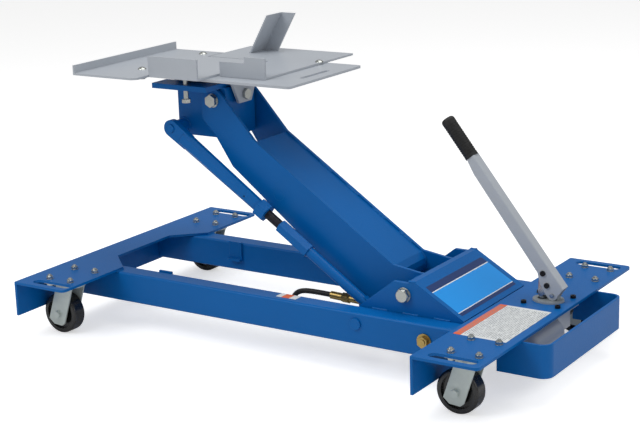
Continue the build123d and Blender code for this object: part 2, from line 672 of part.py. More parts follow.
def make_upright_angle():
    """Angle iron welded to the rear bracket, leaning back over it."""
    thick = 5.0
    height = 100.0
    lean = height * math.tan(math.radians(30))
    x, y = -352.0, 246.0
    z = BRACKET_Z + BRACKET_T
    leg_x = 46.0
    leg_y = 66.0
    bottom = [(x, z), (x + leg_x, z), (x + leg_x + lean, z + height), (x + lean, z + height)]
    web = side_plate(bottom, y - thick, y)
    skin = [(x, z), (x + thick, z), (x + thick + lean, z + height), (x + lean, z + height)]
    return web + side_plate(skin, y - leg_y, y)


def carriage_bolts(points):
    """Round-headed bolts with a washer and nut below the saddle base."""
    top = BRACKET_Z + BRACKET_T
    under = SADDLE_Z - GAP
    bolts = []
    for x, y in points:
        dome = Pos(x, y, top - 7.0) * Sphere(13.0)
        dome = dome & block((x - 14, x + 14), (y - 14, y + 14), (top, top + 7.0))
        shank = bar((x, y, under - 13.0), (x, y, top), CARRIAGE_R)
        washer = bar((x, y, under - 2.0), (x, y, under), 13.0)
        nut = hexagon((x, y, under - 11.0), (x, y, under - 2.0), 18.0)
        bolts.append(dome + shank + washer + nut)
    return group(*bolts)


# ---- pump and handle -----------------------------------------------------------------------------
def pump_screw_points():
    return [(PUMP_X + sx * PUMP_PITCH, PUMP_Y + sy * PUMP_PITCH) for sx in (-1, 1) for sy in (-1, 1)]


PLUNGER_X = HANDLE_PIN_X - LEVER_ARM
PLUNGER_R = 8.0
POST_HALF = 9.0
PUMP_BODY_Z = 84.0
PUMP_FACE = PUMP_X - 36.0
PUMP_SIDE = PUMP_Y - 36.0


def make_pump_flange():
    """Cast oval foot on the deck with the post that carries the handle pin."""
    foot = Pos(PUMP_X, PUMP_Y, DECK_TOP) * extrude(Ellipse(38.0, 31.0), amount=5.0, taper=12)
    post = side_plate([(HANDLE_PIN_X - 10, DECK_TOP), (HANDLE_PIN_X + 12, DECK_TOP),
                       (HANDLE_PIN_X + 10, HANDLE_PIN_Z), (HANDLE_PIN_X - 9, HANDLE_PIN_Z)],
                      PUMP_Y - POST_HALF, PUMP_Y + POST_HALF)
    post += bar((HANDLE_PIN_X, PUMP_Y - POST_HALF, HANDLE_PIN_Z),
                (HANDLE_PIN_X, PUMP_Y + POST_HALF, HANDLE_PIN_Z), 10.0)
    flange = foot + post
    flange -= bar((HANDLE_PIN_X, PUMP_Y - 20, HANDLE_PIN_Z), (HANDLE_PIN_X, PUMP_Y + 20, HANDLE_PIN_Z),
                  5.0 + RUN_FIT)
    flange -= bar((PLUNGER_X, PUMP_Y, DECK_TOP - 1), (PLUNGER_X, PUMP_Y, DECK_TOP + 20), PLUNGER_R + 4.0)
    return flange


def make_pump_block():
    reach = PUMP_PITCH + 10.0
    top = block((PUMP_X - reach, PUMP_X + reach), (PUMP_Y - reach, PUMP_Y + reach), (DECK_Z - 12, DECK_Z))
    body = block((PUMP_FACE, PUMP_X + 40), (PUMP_SIDE, PUMP_Y + 36), (PUMP_BODY_Z, DECK_Z - 12))
    body = fillet(body.edges().filter_by(Axis.Z), 4.0)
    pump = top + body
    pump -= bar((PLUNGER_X, PUMP_Y, DECK_Z - 48), (PLUNGER_X, PUMP_Y, DECK_Z + 1), PLUNGER_R + RUN_FIT)
    for x, y in pump_screw_points():
        pump -= bar((x, y, DECK_Z - 13), (x, y, DECK_Z + 1), 4.0)
    pump -= bar((VALVE_X, VALVE_Y0 - 20, VALVE_Z), (VALVE_X, VALVE_Y0 + 1, VALVE_Z), 5.0 + RUN_FIT)
    return pump


def make_pump_reservoir():
    """Oil tank: a round can lying along Y, held to the side of the pump block."""
    y = (PUMP_SIDE - 150.0, PUMP_SIDE - 14.0)
    x = PUMP_X + 34.0
    z = DECK_Z - 12.0 - 34.0
    can = bar((x, y[0], z), (x, y[1], z), 32.0)
    can = fillet(can.edges().group_by(Axis.Y)[0], 14.0)
    can = fillet(can.edges().group_by(Axis.Y)[-1], 6.0)
    return can + bar((x - 12, y[1] - 8, z + 6), (x - 12, PUMP_SIDE, z + 6), 15.0)


VALVE_X = PUMP_X + 20.0
VALVE_Y0 = PUMP_Y + 36.0
VALVE_Z = 112.0


def make_release_valve():
    stem = bar((VALVE_X, VALVE_Y0 - 18, VALVE_Z), (VALVE_X, VALVE_Y0 + 12, VALVE_Z), 5.0)
    knob = bar((VALVE_X, VALVE_Y0 + 12, VALVE_Z), (VALVE_X, VALVE_Y0 + 30, VALVE_Z), 14.0)
    for i in range(12):
        angle = math.radians(30 * i)
        x, z = VALVE_X + 15.2 * math.cos(angle), VALVE_Z + 15.2 * math.sin(angle)
        knob -= bar((x, VALVE_Y0 + 11, z), (x, VALVE_Y0 + 31, z), 2.4)
    return stem + knob


def make_pump_screws():
    screws = []
    for x, y in pump_screw_points():
        shank = bar((x, y, DECK_Z - 12), (x, y, DECK_TOP), 4.0)
        head = bar((x, y, DECK_TOP), (x, y, DECK_TOP + 6.5), 6.5)
        head -= extrude(Pos(x, y, DECK_TOP + 3.5) * RegularPolygon(3.4, 6), amount=4)
        screws.append(shank + head)
    return group(*screws)


def make_pump_plunger():
    z = (DECK_Z - 44.0, HANDLE_PIN_Z - 7.5)
    return bar((PLUNGER_X, PUMP_Y, z[0]), (PLUNGER_X, PUMP_Y, z[1]), PLUNGER_R)


def handle_point(s, offset):
    """Point of the handle: s up its length, offset towards its back."""
    angle = math.radians(HANDLE_ANGLE)
    x = HANDLE_FOOT_X - s * math.cos(angle) + offset * math.sin(angle)
    z = HANDLE_FOOT_Z + s * math.sin(angle) + offset * math.cos(angle)
    return x, z


CHANNEL_HALF = 14.5
CHANNEL_T = 3.0


def make_handle_channel():
    """Pressed channel, open at the front, with deeper cheeks at its foot."""
    y = (PUMP_Y - CHANNEL_HALF, PUMP_Y + CHANNEL_HALF)
    cheek = [(6.0, 16.0), (CHANNEL_LENGTH, 15.0), (CHANNEL_LENGTH, -6.0), (340.0, -12.0),
             (70.0, -16.0), (46.0, -27.0), (10.0, -30.0), (0.0, -8.0)]
    channel = side_plate([handle_point(s, t) for s, t in cheek], y[0], y[1])
    channel += bar((HANDLE_PIN_X, y[0], HANDLE_PIN_Z), (HANDLE_PIN_X, y[1], HANDLE_PIN_Z), 12.2)
    channel = fillet(channel.edges().filter_by(lambda e: e.length > 300.0
                                               and e.center().X > handle_point(188, 10)[0]), 4.0)
    core = [(-30.0, 16.0 - CHANNEL_T), (CHANNEL_LENGTH - 8.0, 15.0 - CHANNEL_T),
            (CHANNEL_LENGTH - 8.0, -40.0), (-30.0, -40.0)]
    channel -= side_plate([handle_point(s, t) for s, t in core], y[0] + CHANNEL_T, y[1] - CHANNEL_T)
    channel -= bar((HANDLE_PIN_X, y[0] - 1, HANDLE_PIN_Z), (HANDLE_PIN_X, y[1] + 1, HANDLE_PIN_Z), 5.0)
    return channel


def make_handle_lever():
    """Pin through the post and the nose that works the plunger, clamped between the cheeks."""
    inside = CHANNEL_HALF - CHANNEL_T
    pin = bar((HANDLE_PIN_X, PUMP_Y - 18.0, HANDLE_PIN_Z), (HANDLE_PIN_X, PUMP_Y + 18.0, HANDLE_PIN_Z), 5.0)
    y = (PUMP_Y - inside, PUMP_Y + inside)
    centre_z = HANDLE_PIN_Z + 0.5
    outline = [(PLUNGER_X - 7, centre_z), (PLUNGER_X + 5, centre_z - 4.5),
               (HANDLE_PIN_X - 14, HANDLE_PIN_Z + 4), (HANDLE_PIN_X - 16, HANDLE_PIN_Z + 22),
               handle_point(66.0, 4.0), handle_point(70.0, -13.0)]
    nose = side_plate(outline, y[0], y[1])
    nose += bar((PLUNGER_X, y[0], centre_z), (PLUNGER_X, y[1], centre_z), 7.0)
    return group(pin, nose)


def make_handle_grip():
    """Ribbed rubber sleeve with a rounded end."""
    axis = (-math.cos(math.radians(HANDLE_ANGLE)), 0, math.sin(math.radians(HANDLE_ANGLE)))
    x, z = handle_point(CHANNEL_LENGTH, 2.0)
    start = Vector(x, PUMP_Y, z)
    frame = Plane(origin=start, z_dir=axis)
    grip = frame * Cylinder(GRIP_R, GRIP_LENGTH, align=(Align.CENTER, Align.CENTER, Align.MIN))
    grip = fillet(grip.edges().sort_by(Axis.Z)[-1], 8.0)
    for i in range(14):
        at = frame * Pos(0, 0, 10.0 + 6.0 * i)
        grip -= at * (Cylinder(GRIP_R + 1, 2.0) - Cylinder(GRIP_R - 1.0, 2.0))
    return grip


def make_handle_screws():
    """Two black clamp screws and the bright end bolt on each cheek."""
    pieces = []
    for side in (-1, 1):
        face = PUMP_Y + side * CHANNEL_HALF
        for s, t, radius in ((62.0, -5.0, 6.5), (34.0, -14.0, 6.5)):
            x, z = handle_point(s, t)
            pieces.append(bar((x, face, z), (x, face + side * 3.5, z), radius))
    return group(*pieces)


# ---- hose ------------------------------------------------------------------------------------------
PORT_Y = -47.0
HOSE_R = 6.5
PORT_START = (SHAFT_X - 20.0, PORT_Y, 113.0)
PORT_FACE = (SHAFT_X - 44.0, PORT_Y, 113.8)
HOSE_ROUTE = [(26.0, PORT_Y, 117.8), (-19.0, PORT_Y, 119.3), (-64.0, -49.0, 117.0), (-85.0, -50.0, 98.0),
              (-85.0, -50.0, 71.0), (-66.0, -50.0, 52.0), (-24.0, -49.0, 49.0), (34.0, -48.0, 58.0),
              (88.0, -47.0, 67.0), (142.0, -47.0, 72.0), (200.0, -46.0, 73.0), (258.0, -43.0, 75.0),
              (316.0, -35.0, 78.0), (372.0, -23.0, 83.0), (424.0, -7.0, 87.0), (464.0, 6.0, 92.0),
              (496.0, 22.0, 98.0)]


def hose_radii():
    """Largest arcs that fit: 0.45 of the shorter run over the tangent of half the turn."""
    radii = []
    for a, b, c in zip(HOSE_ROUTE, HOSE_ROUTE[1:], HOSE_ROUTE[2:]):
        first, second = Vector(*b) - Vector(*a), Vector(*c) - Vector(*b)
        half_turn = math.radians(first.get_angle(second)) / 2
        radii.append(0.45 * min(first.length, second.length) / math.tan(half_turn))
    return radii


def make_hose():
    radii = hose_radii()
    path = FilletPolyline(*HOSE_ROUTE, radius=radii)
    start = Vector(*HOSE_ROUTE[0])
    direction = Vector(*HOSE_ROUTE[1]) - start
    section = Plane(origin=start, z_dir=direction) * Circle(HOSE_R)
    hose = sweep(section, path=path)
    wanted = math.pi * HOSE_R ** 2 * path.length
    print("hose radii", [round(r) for r in radii])
    print("hose length", round(path.length), "volume ratio", round(hose.volume / wanted, 4))
    return hose


def make_swivel_port():
    """Collar on the cross shaft that feeds the cylinder, with a threaded port to the front."""
    collar = bar(shaft_point(PORT_END), shaft_point(-LUG_IN - LUG_T - GAP), 25.0)
    port = collar + bar(PORT_START, PORT_FACE, PORT_R)
    return port - bar((SHAFT_X, -70, SHAFT_Z), (SHAFT_X, -20, SHAFT_Z), SHAFT_R)


def along(start, end, share):
    """Point part of the way from one point to another."""
    return tuple(a + (b - a) * share for a, b in zip(start, end))


def make_hose_fittings():
    """Adapter and crimped ferrule at the cylinder, ferrule and nut at the pump."""
    first = HOSE_ROUTE[0]
    marks = [along(PORT_FACE, first, share) for share in (0.0, 0.22, 0.56, 0.72, 1.0)]
    adapter = hexagon(marks[0], marks[1], 24.0) + bar(marks[1], marks[2], 9.0)
    adapter += hexagon(marks[2], marks[3], 22.0) + bar(marks[3], marks[4], 9.5)
    last = HOSE_ROUTE[-1]
    entry = along(HOSE_ROUTE[-2], last, 1.9)
    middle = along(HOSE_ROUTE[-2], last, 1.35)
    pump_end = bar(last, middle, 9.5) + bar(middle, entry, 11.0)
    pump_end -= block((PUMP_FACE, PUMP_FACE + 60), (-60, 80), (40, 160))
    return group(adapter, pump_end)


# ---- casters ---------------------------------------------------------------------------------------
RACE_Z = 131.5
CROWN_Z = (125.0, RACE_Z - GAP)


def make_caster_plates():
    """Top plate, ball race and king pin of each caster."""
    plates = []
    for cx in CASTER_X:
        for side in (-1, 1):
            cy = side * CASTER_Y
            plate = block((cx - 49, cx + 49), (cy - 57, cy + 57), (DECK_Z - 4, DECK_Z))
            plate = fillet(plate.edges().filter_by(Axis.Z), 8.0)
            plate += bar((cx, cy, RACE_Z), (cx, cy, DECK_Z - 4), 29.0)
            plate += bar((cx, cy, CROWN_Z[0] - GAP), (cx, cy, RACE_Z), 8.0)
            plate += bar((cx, cy, CROWN_Z[0] - 6), (cx, cy, CROWN_Z[0] - GAP), 13.0)
            for dx in (-BOLT_DX, BOLT_DX):
                for dy in (-BOLT_DY, BOLT_DY):
                    plate -= bar((cx + dx, cy + dy, DECK_Z - 5), (cx + dx, cy + dy, DECK_Z + 1), 5.0)
            plates.append(plate)
    return group(*plates)


def make_caster_bolts():
    """Bolts with heads under the caster plates and nuts on the deck."""
    bolts = []
    for x, y in caster_bolt_points():
        shank = bar((x, y, DECK_Z - 4), (x, y, DECK_TOP + 12), 5.0)
        head = hexagon((x, y, DECK_Z - 10), (x, y, DECK_Z - 4), 15.0)
        nut = hexagon((x, y, DECK_TOP), (x, y, DECK_TOP + 8), 15.0)
        bolts.append(shank + head + nut)
    return group(*bolts)


LEG = [(2.0, 79.9), (50.0, 79.9), (50.0, 70.0), (20.0, -22.0), (11.0, -29.0), (-15.0, -27.0),
       (-30.0, -14.0)]


def make_caster_fork(cx, cy):
    """Crown with two tapered legs, and the axle bolt with its nut."""
    axle = (cx - CASTER_TRAIL, WHEEL_R)
    outline = [(axle[0] + dx, WHEEL_R + dz) for dx, dz in LEG]
    fork = bar((cx, cy, CROWN_Z[0]), (cx, cy, CROWN_Z[1]), 31.0)
    fork += block((axle[0] + 2, axle[0] + 50), (cy - FORK_IN - FORK_T, cy + FORK_IN + FORK_T), CROWN_Z)
    for side in (-1, 1):
        y = sorted((cy + side * FORK_IN, cy + side * (FORK_IN + FORK_T)))
        leg = side_plate(outline, y[0], y[1])
        leg -= bar((axle[0], y[0] - 1, axle[1]), (axle[0], y[1] + 1, axle[1]), AXLE_R)
        fork += leg
    fork -= bar((cx, cy, CROWN_Z[0] - 1), (cx, cy, CROWN_Z[1] + 1), 8.0 + RUN_FIT)
    reach = FORK_IN + FORK_T
    bolt = bar((axle[0], cy - reach, axle[1]), (axle[0], cy + reach + 12, axle[1]), AXLE_R)
    bolt += hexagon((axle[0], cy - reach - 8, axle[1]), (axle[0], cy - reach, axle[1]), 17.0)
    bolt += hexagon((axle[0], cy + reach, axle[1]), (axle[0], cy + reach + 9, axle[1]), 17.0)
    return group(fork, bolt)


def make_caster_wheel(cx, cy):
    """Moulded wheel with dished faces and a plain bore."""
    x = cx - CASTER_TRAIL
    wheel = bar((x, cy - WHEEL_HALF, WHEEL_R), (x, cy + WHEEL_HALF, WHEEL_R), WHEEL_R)
    wheel = fillet(wheel.edges().filter_by(GeomType.CIRCLE), 5.0)
    hub = FORK_IN - GAP
    for side in (-1, 1):
        face = cy + side * WHEEL_HALF
        wheel -= ring((x, face - side * 7, WHEEL_R), (x, face + side, WHEEL_R), 39.0, 15.0)
    wheel += bar((x, cy - hub, WHEEL_R), (x, cy + hub, WHEEL_R), 12.0)
    wheel -= bar((x, cy - hub - 1, WHEEL_R), (x, cy + hub + 1, WHEEL_R), AXLE_R + RUN_FIT)
    return wheel


def main():
    nodes = {
        "rail_left": make_rail(1),
        "rail_right": make_rail(-1),
        "front_crossmember": make_front_crossmember(),
        "rear_crossmember": make_rear_crossmember(),
        "arm_gussets": group(make_gusset(1), make_gusset(-1), make_ram_lug(1), make_ram_lug(-1)),
        "cover_plate": make_cover_plate(),
        "pump_guard": make_pump_guard(),
        "rest_brackets": group(make_rest_bracket(1), make_rest_bracket(-1)),
        "cross_shaft": make_cross_shaft(),
        "arm_pivot_bolts": make_arm_pivot_bolts(),
        "rail_tie_rod": make_tie_rod(),
        "arm_side_left": make_arm_side(1),
        "arm_side_right": make_arm_side(-1),
        "arm_cross_plates": group(make_arm_top_plate(), make_arm_bottom_plate()),
        "arm_pivot_tube": make_pivot_tube(),
        "lift_crossbar": make_lift_crossbar(),
        "head_pivot_bolts": make_head_pivot_bolts(),
        "head_box": make_head_box(),
        "head_plate": make_head_plate(),
        "link_upper_pin": make_link_upper_pin(),
        "tilt_pivot_bolts": make_tilt_pivot_bolts(),
        "link_bar": make_link_bar(),
        "link_threaded_rod": make_link_threaded_rod(),
        "link_sleeve": make_link_sleeve(),
        "link_lower_rod": make_link_lower_rod(),
        "cylinder_barrel": make_cylinder_barrel(),
        "cylinder_gland": make_cylinder_gland(),
        "cylinder_rod": make_cylinder_rod(),
        "saddle_base": make_saddle_base(),
        "saddle_clevises": make_saddle_clevises(),
        "tilt_screw_left": make_tilt_screw(1),
        "tilt_screw_right": make_tilt_screw(-1),
        "front_bracket": make_front_bracket(),
        "front_bracket_bolts": carriage_bolts(FRONT_BOLTS),
        "rear_bracket": make_rear_bracket(),
        "rear_bracket_bolts": carriage_bolts(REAR_BOLTS),
        "upright_angle": make_upright_angle(),
        "pump_flange": make_pump_flange(),
        "pump_block": make_pump_block(),
        "pump_reservoir": make_pump_reservoir(),
        "pump_screws": make_pump_screws(),
        "pump_plunger": make_pump_plunger(),
        "release_valve": make_release_valve(),
        "handle_channel": make_handle_channel(),
        "handle_lever": make_handle_lever(),
        "handle_grip": make_handle_grip(),
        "handle_screws": make_handle_screws(),
        "hydraulic_hose": make_hose(),
        "swivel_port": make_swivel_port(),
        "hose_fittings": make_hose_fittings(),
        "caster_plates": make_caster_plates(),
        "caster_bolts": make_caster_bolts(),
    }
    for end, cx in zip(("front", "rear"), CASTER_X):
        for name, side in (("left", 1), ("right", -1)):
            nodes[f"caster_fork_{end}_{name}"] = make_caster_fork(cx, side * CASTER_Y)
            nodes[f"caster_wheel_{end}_{name}"] = make_caster_wheel(cx, side * CASTER_Y)
    os.makedirs("parts", exist_ok=True)
    for name, shape in nodes.items():
        export_step(shape, f"parts/{name}.step")
    print(len(nodes), "nodes written")


main()
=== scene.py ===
"""Visual model of a low-lift transmission jack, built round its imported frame."""
import json
import math

import bmesh
import bpy
from bpy.props import FloatProperty, FloatVectorProperty, IntProperty, PointerProperty
from mathutils import Matrix, Vector


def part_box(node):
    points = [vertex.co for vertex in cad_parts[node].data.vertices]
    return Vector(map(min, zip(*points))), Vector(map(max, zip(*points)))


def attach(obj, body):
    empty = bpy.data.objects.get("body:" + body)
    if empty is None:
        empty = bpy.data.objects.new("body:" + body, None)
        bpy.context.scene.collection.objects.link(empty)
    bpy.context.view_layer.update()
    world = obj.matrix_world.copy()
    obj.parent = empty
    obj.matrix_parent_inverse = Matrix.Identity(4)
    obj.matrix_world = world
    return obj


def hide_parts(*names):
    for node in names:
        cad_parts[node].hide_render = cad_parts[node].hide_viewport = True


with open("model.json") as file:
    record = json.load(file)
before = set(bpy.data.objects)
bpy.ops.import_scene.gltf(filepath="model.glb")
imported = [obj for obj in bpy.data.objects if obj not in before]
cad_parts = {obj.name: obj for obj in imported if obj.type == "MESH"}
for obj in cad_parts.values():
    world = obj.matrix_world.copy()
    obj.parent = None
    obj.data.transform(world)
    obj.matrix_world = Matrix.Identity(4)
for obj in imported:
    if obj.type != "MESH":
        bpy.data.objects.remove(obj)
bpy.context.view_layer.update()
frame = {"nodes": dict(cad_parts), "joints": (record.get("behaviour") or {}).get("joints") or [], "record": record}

bl_info = {
    "name": "Low-lift transmission jack",
    "version": (1, 0, 0),
    "blender": (4, 5, 0),
    "location": "View3D > Sidebar > Jack",
    "description": "Finishes, welds, fasteners and labels of a low-lift transmission jack",
    "category": "Object",
}

MM = 0.001

# Sockets of a colour Mix node, which share their names with its other types.
MIX_A, MIX_B, MIX_RESULT = 6, 7, 2

# Sizes in metres.
CASTER_PLATE_T = 0.004
CASTER_HOLE_X, CASTER_HOLE_Y = 0.03335, 0.04605
RACE_RINGS = ((0.0285, 0.1318), (0.0335, 0.1322), (0.0350, 0.1345), (0.0343, 0.1372),
              (0.0320, 0.1388), (0.0285, 0.1389))
BALL_CIRCLE_R, BALL_R, BALL_Z = 0.0312, 0.0019, 0.1338
LINK_Y = -0.109
LINK_THREAD_START, LINK_THREAD_LENGTH, LINK_ROD_R = 0.334, 0.043, 0.011
HOSE_R = 0.0065

# Half width between the arm's inner corner welds, in millimetres.
ARM_WELD_Y = 64.5

LABEL_NAVY, LABEL_BLUE, LABEL_PALE = "#0c3570", "#0a9af2", "#e8eef4"
LABEL_ORANGE, LABEL_WHITE, LABEL_INK = "#f0631c", "#e9ecec", "#8d9296"

# Each area light: its name, place, aim, size in metres and power in watts.
LIGHTS = (("key", (-1.6, -2.6, 3.4), (0.0, 0.0, 0.2), 2.4, 60.0),
          ("top", (0.6, 0.6, 4.2), (0.0, 0.0, 0.2), 3.4, 75.0),
          ("side", (3.6, -0.6, 1.4), (0.2, 0.0, 0.3), 1.8, 14.0))
CAMERA_PLACE = (2.0163, -3.1214, 1.2950)
CAMERA_HEADING, CAMERA_PITCH, CAMERA_ROLL = 33.41, 74.99, -1.75
CAMERA_LENS, CAMERA_SHIFT_X, CAMERA_SHIFT_Y = 89.2, 0.00605, 0.00447
FLOOR_HALF = 60.0


def linear(hex_colour):
    """Turn an sRGB hex colour such as "#0a5ea8" into linear red, green and blue."""
    values = [int(hex_colour[i:i + 2], 16) / 255 for i in (1, 3, 5)]
    return tuple(v / 12.92 if v <= 0.04045 else ((v + 0.055) / 1.055) ** 2.4 for v in values)


def colour_prop(name, description, hex_colour):
    return FloatVectorProperty(name=name, description=description, subtype="COLOR", size=3,
                               min=0.0, max=1.0, default=linear(hex_colour))


def length_prop(name, description, millimetres):
    return FloatProperty(name=name, description=description, unit="LENGTH", subtype="DISTANCE",
                         min=0.0, precision=5, default=millimetres * MM)


class JackFinish(bpy.types.PropertyGroup):
    """Colours of the jack's finishes."""
    blue: colour_prop("Blue powder coat", "Frame, arm and link", "#0063ae")
    light_grey: colour_prop("Light grey paint", "Saddle, brackets, handle and pump", "#b4bac2")
    zinc: colour_prop("Bright zinc", "Bolts, nuts and washers", "#b9bcb8")
    fork_zinc: colour_prop("Dull zinc", "Pressed caster forks and plates", "#c2cbc8")
    brass_zinc: colour_prop("Yellow zinc", "Tie rod and hose fittings", "#b79d62")
    dark_steel: colour_prop("Blackened steel", "Threaded rod and oil collar", "#35343a")
    bare_steel: colour_prop("Ground steel", "Ram, plunger and pins", "#a9adb1")
    black_oxide: colour_prop("Black oxide", "Cap screws and gland", "#1c1c1f")
    cast_iron: colour_prop("Cast grey", "Pump foot", "#8f979c")
    phenolic: colour_prop("Phenolic", "Caster wheels", "#141415")
    rubber: colour_prop("Black rubber", "Grip and hose", "#161617")


class JackDetail(bpy.types.PropertyGroup):
    """Sizes of the added details."""
    bead_radius: length_prop("Bead radius", "Half width of a weld bead", 3.2)
    bead_pitch: length_prop("Bead pitch", "Distance from one weld ripple to the next", 3.0)
    thread_pitch: length_prop("Thread pitch", "Pitch of the levelling link's thread", 2.6)
    thread_height: length_prop("Thread height", "How far the thread's crests stand out", 0.5)
    decal_lift: length_prop("Label thickness", "How far a label stands off the paint", 0.25)
    race_balls: IntProperty(name="Race balls", description="Balls seen in a caster's swivel race",
                            min=3, max=40, default=22)


# ---- nodes and materials ------------------------------------------------------------------
def add_node(tree, kind, values=None, links=None, **settings):
    """Add a node, set its properties and inputs, and link outputs into its inputs."""
    node = tree.nodes.new(kind)
    for key, value in settings.items():
        setattr(node, key, value)
    for key, value in (values or {}).items():
        node.inputs[key].default_value = value
    for key, source in (links or {}).items():
        tree.links.new(source, node.inputs[key])
    return node


def scaled(colour, factor):
    """Brighten or darken a linear colour, with full alpha."""
    return tuple(min(1.0, c * factor) for c in colour) + (1.0,)


def new_material(name):
    """Empty node material with only its shader and output."""
    material = bpy.data.materials.new(name)
    material.use_nodes = True
    tree = material.node_tree
    tree.nodes.clear()
    shader = add_node(tree, "ShaderNodeBsdfPrincipled")
    add_node(tree, "ShaderNodeOutputMaterial", links={"Surface": shader.outputs["BSDF"]})
    return material, tree, shader


def noise(tree, place, size_mm, detail=3.0, roughness=0.55):
    """Noise whose blotches are about size_mm across."""
    return add_node(tree, "ShaderNodeTexNoise",
                    values={"Scale": 1000.0 / size_mm, "Detail": detail, "Roughness": roughness},
                    links={"Vector": place})


def finish(name, colour, *, rough, metallic=0.0, spread=0.08, patch_mm=60.0, grain_mm=2.0,
           relief=0.06, rough_spread=0.08, edge_highlight_colour=None, edge_highlight_level=0.0, edge_mm=1.2, coat=0.0, ior=1.5,
           sheen_level=0.5, stretch=(1.0, 1.0, 1.0)):
    """Surface with drifting tone, uneven gloss, fine relief and softly rounded edges, which a given paler colour
    turns into a painted highlight.
    """
    material, tree, shader = new_material(name)
    place = add_node(tree, "ShaderNodeTexCoord").outputs["Object"]
    grain_place = add_node(tree, "ShaderNodeMapping", values={"Scale": stretch},
                           links={"Vector": place}).outputs["Vector"]
    patches = noise(tree, place, patch_mm, 4.0)
    grain = noise(tree, grain_place, grain_mm, 2.0)
    tone = add_node(tree, "ShaderNodeMix", data_type="RGBA",
                    values={MIX_A: scaled(colour, 1.0 - spread),
                            MIX_B: scaled(colour, 1.0 + spread)},
                    links={"Factor": patches.outputs["Fac"]})
    base = tone.outputs[MIX_RESULT]
    rounded = add_node(tree, "ShaderNodeBevel", values={"Radius": edge_mm * MM}, samples=4)
    # Painted highlight: the given paler colour on edges where the rounded normal turns from the face, broken up by
    # noise.
    if edge_highlight_colour is not None:
        flat = add_node(tree, "ShaderNodeNewGeometry").outputs["Normal"]
        likeness = add_node(tree, "ShaderNodeVectorMath", operation="DOT_PRODUCT",
                            links={0: flat, 1: rounded.outputs["Normal"]})
        edge = add_node(tree, "ShaderNodeMapRange",
                        values={"From Min": 0.985, "From Max": 0.86, "To Min": 0.0, "To Max": edge_highlight_level},
                        links={"Value": likeness.outputs["Value"]})
        broken = add_node(tree, "ShaderNodeMapRange",
                          values={"From Min": 0.35, "From Max": 0.62},
                          links={"Value": noise(tree, place, 11.0).outputs["Fac"]})
        mask = add_node(tree, "ShaderNodeMath", operation="MULTIPLY",
                        links={0: edge.outputs["Result"], 1: broken.outputs["Result"]})
        painted_highlight = add_node(tree, "ShaderNodeMix", data_type="RGBA", values={MIX_B: edge_highlight_colour + (1.0,)},
                          links={"Factor": mask.outputs["Value"], MIX_A: base})
        base = painted_highlight.outputs[MIX_RESULT]
    tree.links.new(base, shader.inputs["Base Color"])
    gloss = add_node(tree, "ShaderNodeMapRange",
                     values={"To Min": rough - rough_spread, "To Max": rough + rough_spread},
                     links={"Value": grain.outputs["Fac"]})
    tree.links.new(gloss.outputs["Result"], shader.inputs["Roughness"])
    bump = add_node(tree, "ShaderNodeBump", values={"Strength": relief, "Distance": grain_mm * MM},
                    links={"Height": grain.outputs["Fac"], "Normal": rounded.outputs["Normal"]})
    tree.links.new(bump.outputs["Normal"], shader.inputs["Normal"])
    shader.inputs["Metallic"].default_value = metallic
    if metallic == 0.0:
        shader.inputs["IOR"].default_value = ior
        shader.inputs["Specular IOR Level"].default_value = sheen_level
    if coat:
        shader.inputs["Coat Weight"].default_value = coat
        shader.inputs["Coat Roughness"].default_value = 0.12
    return material


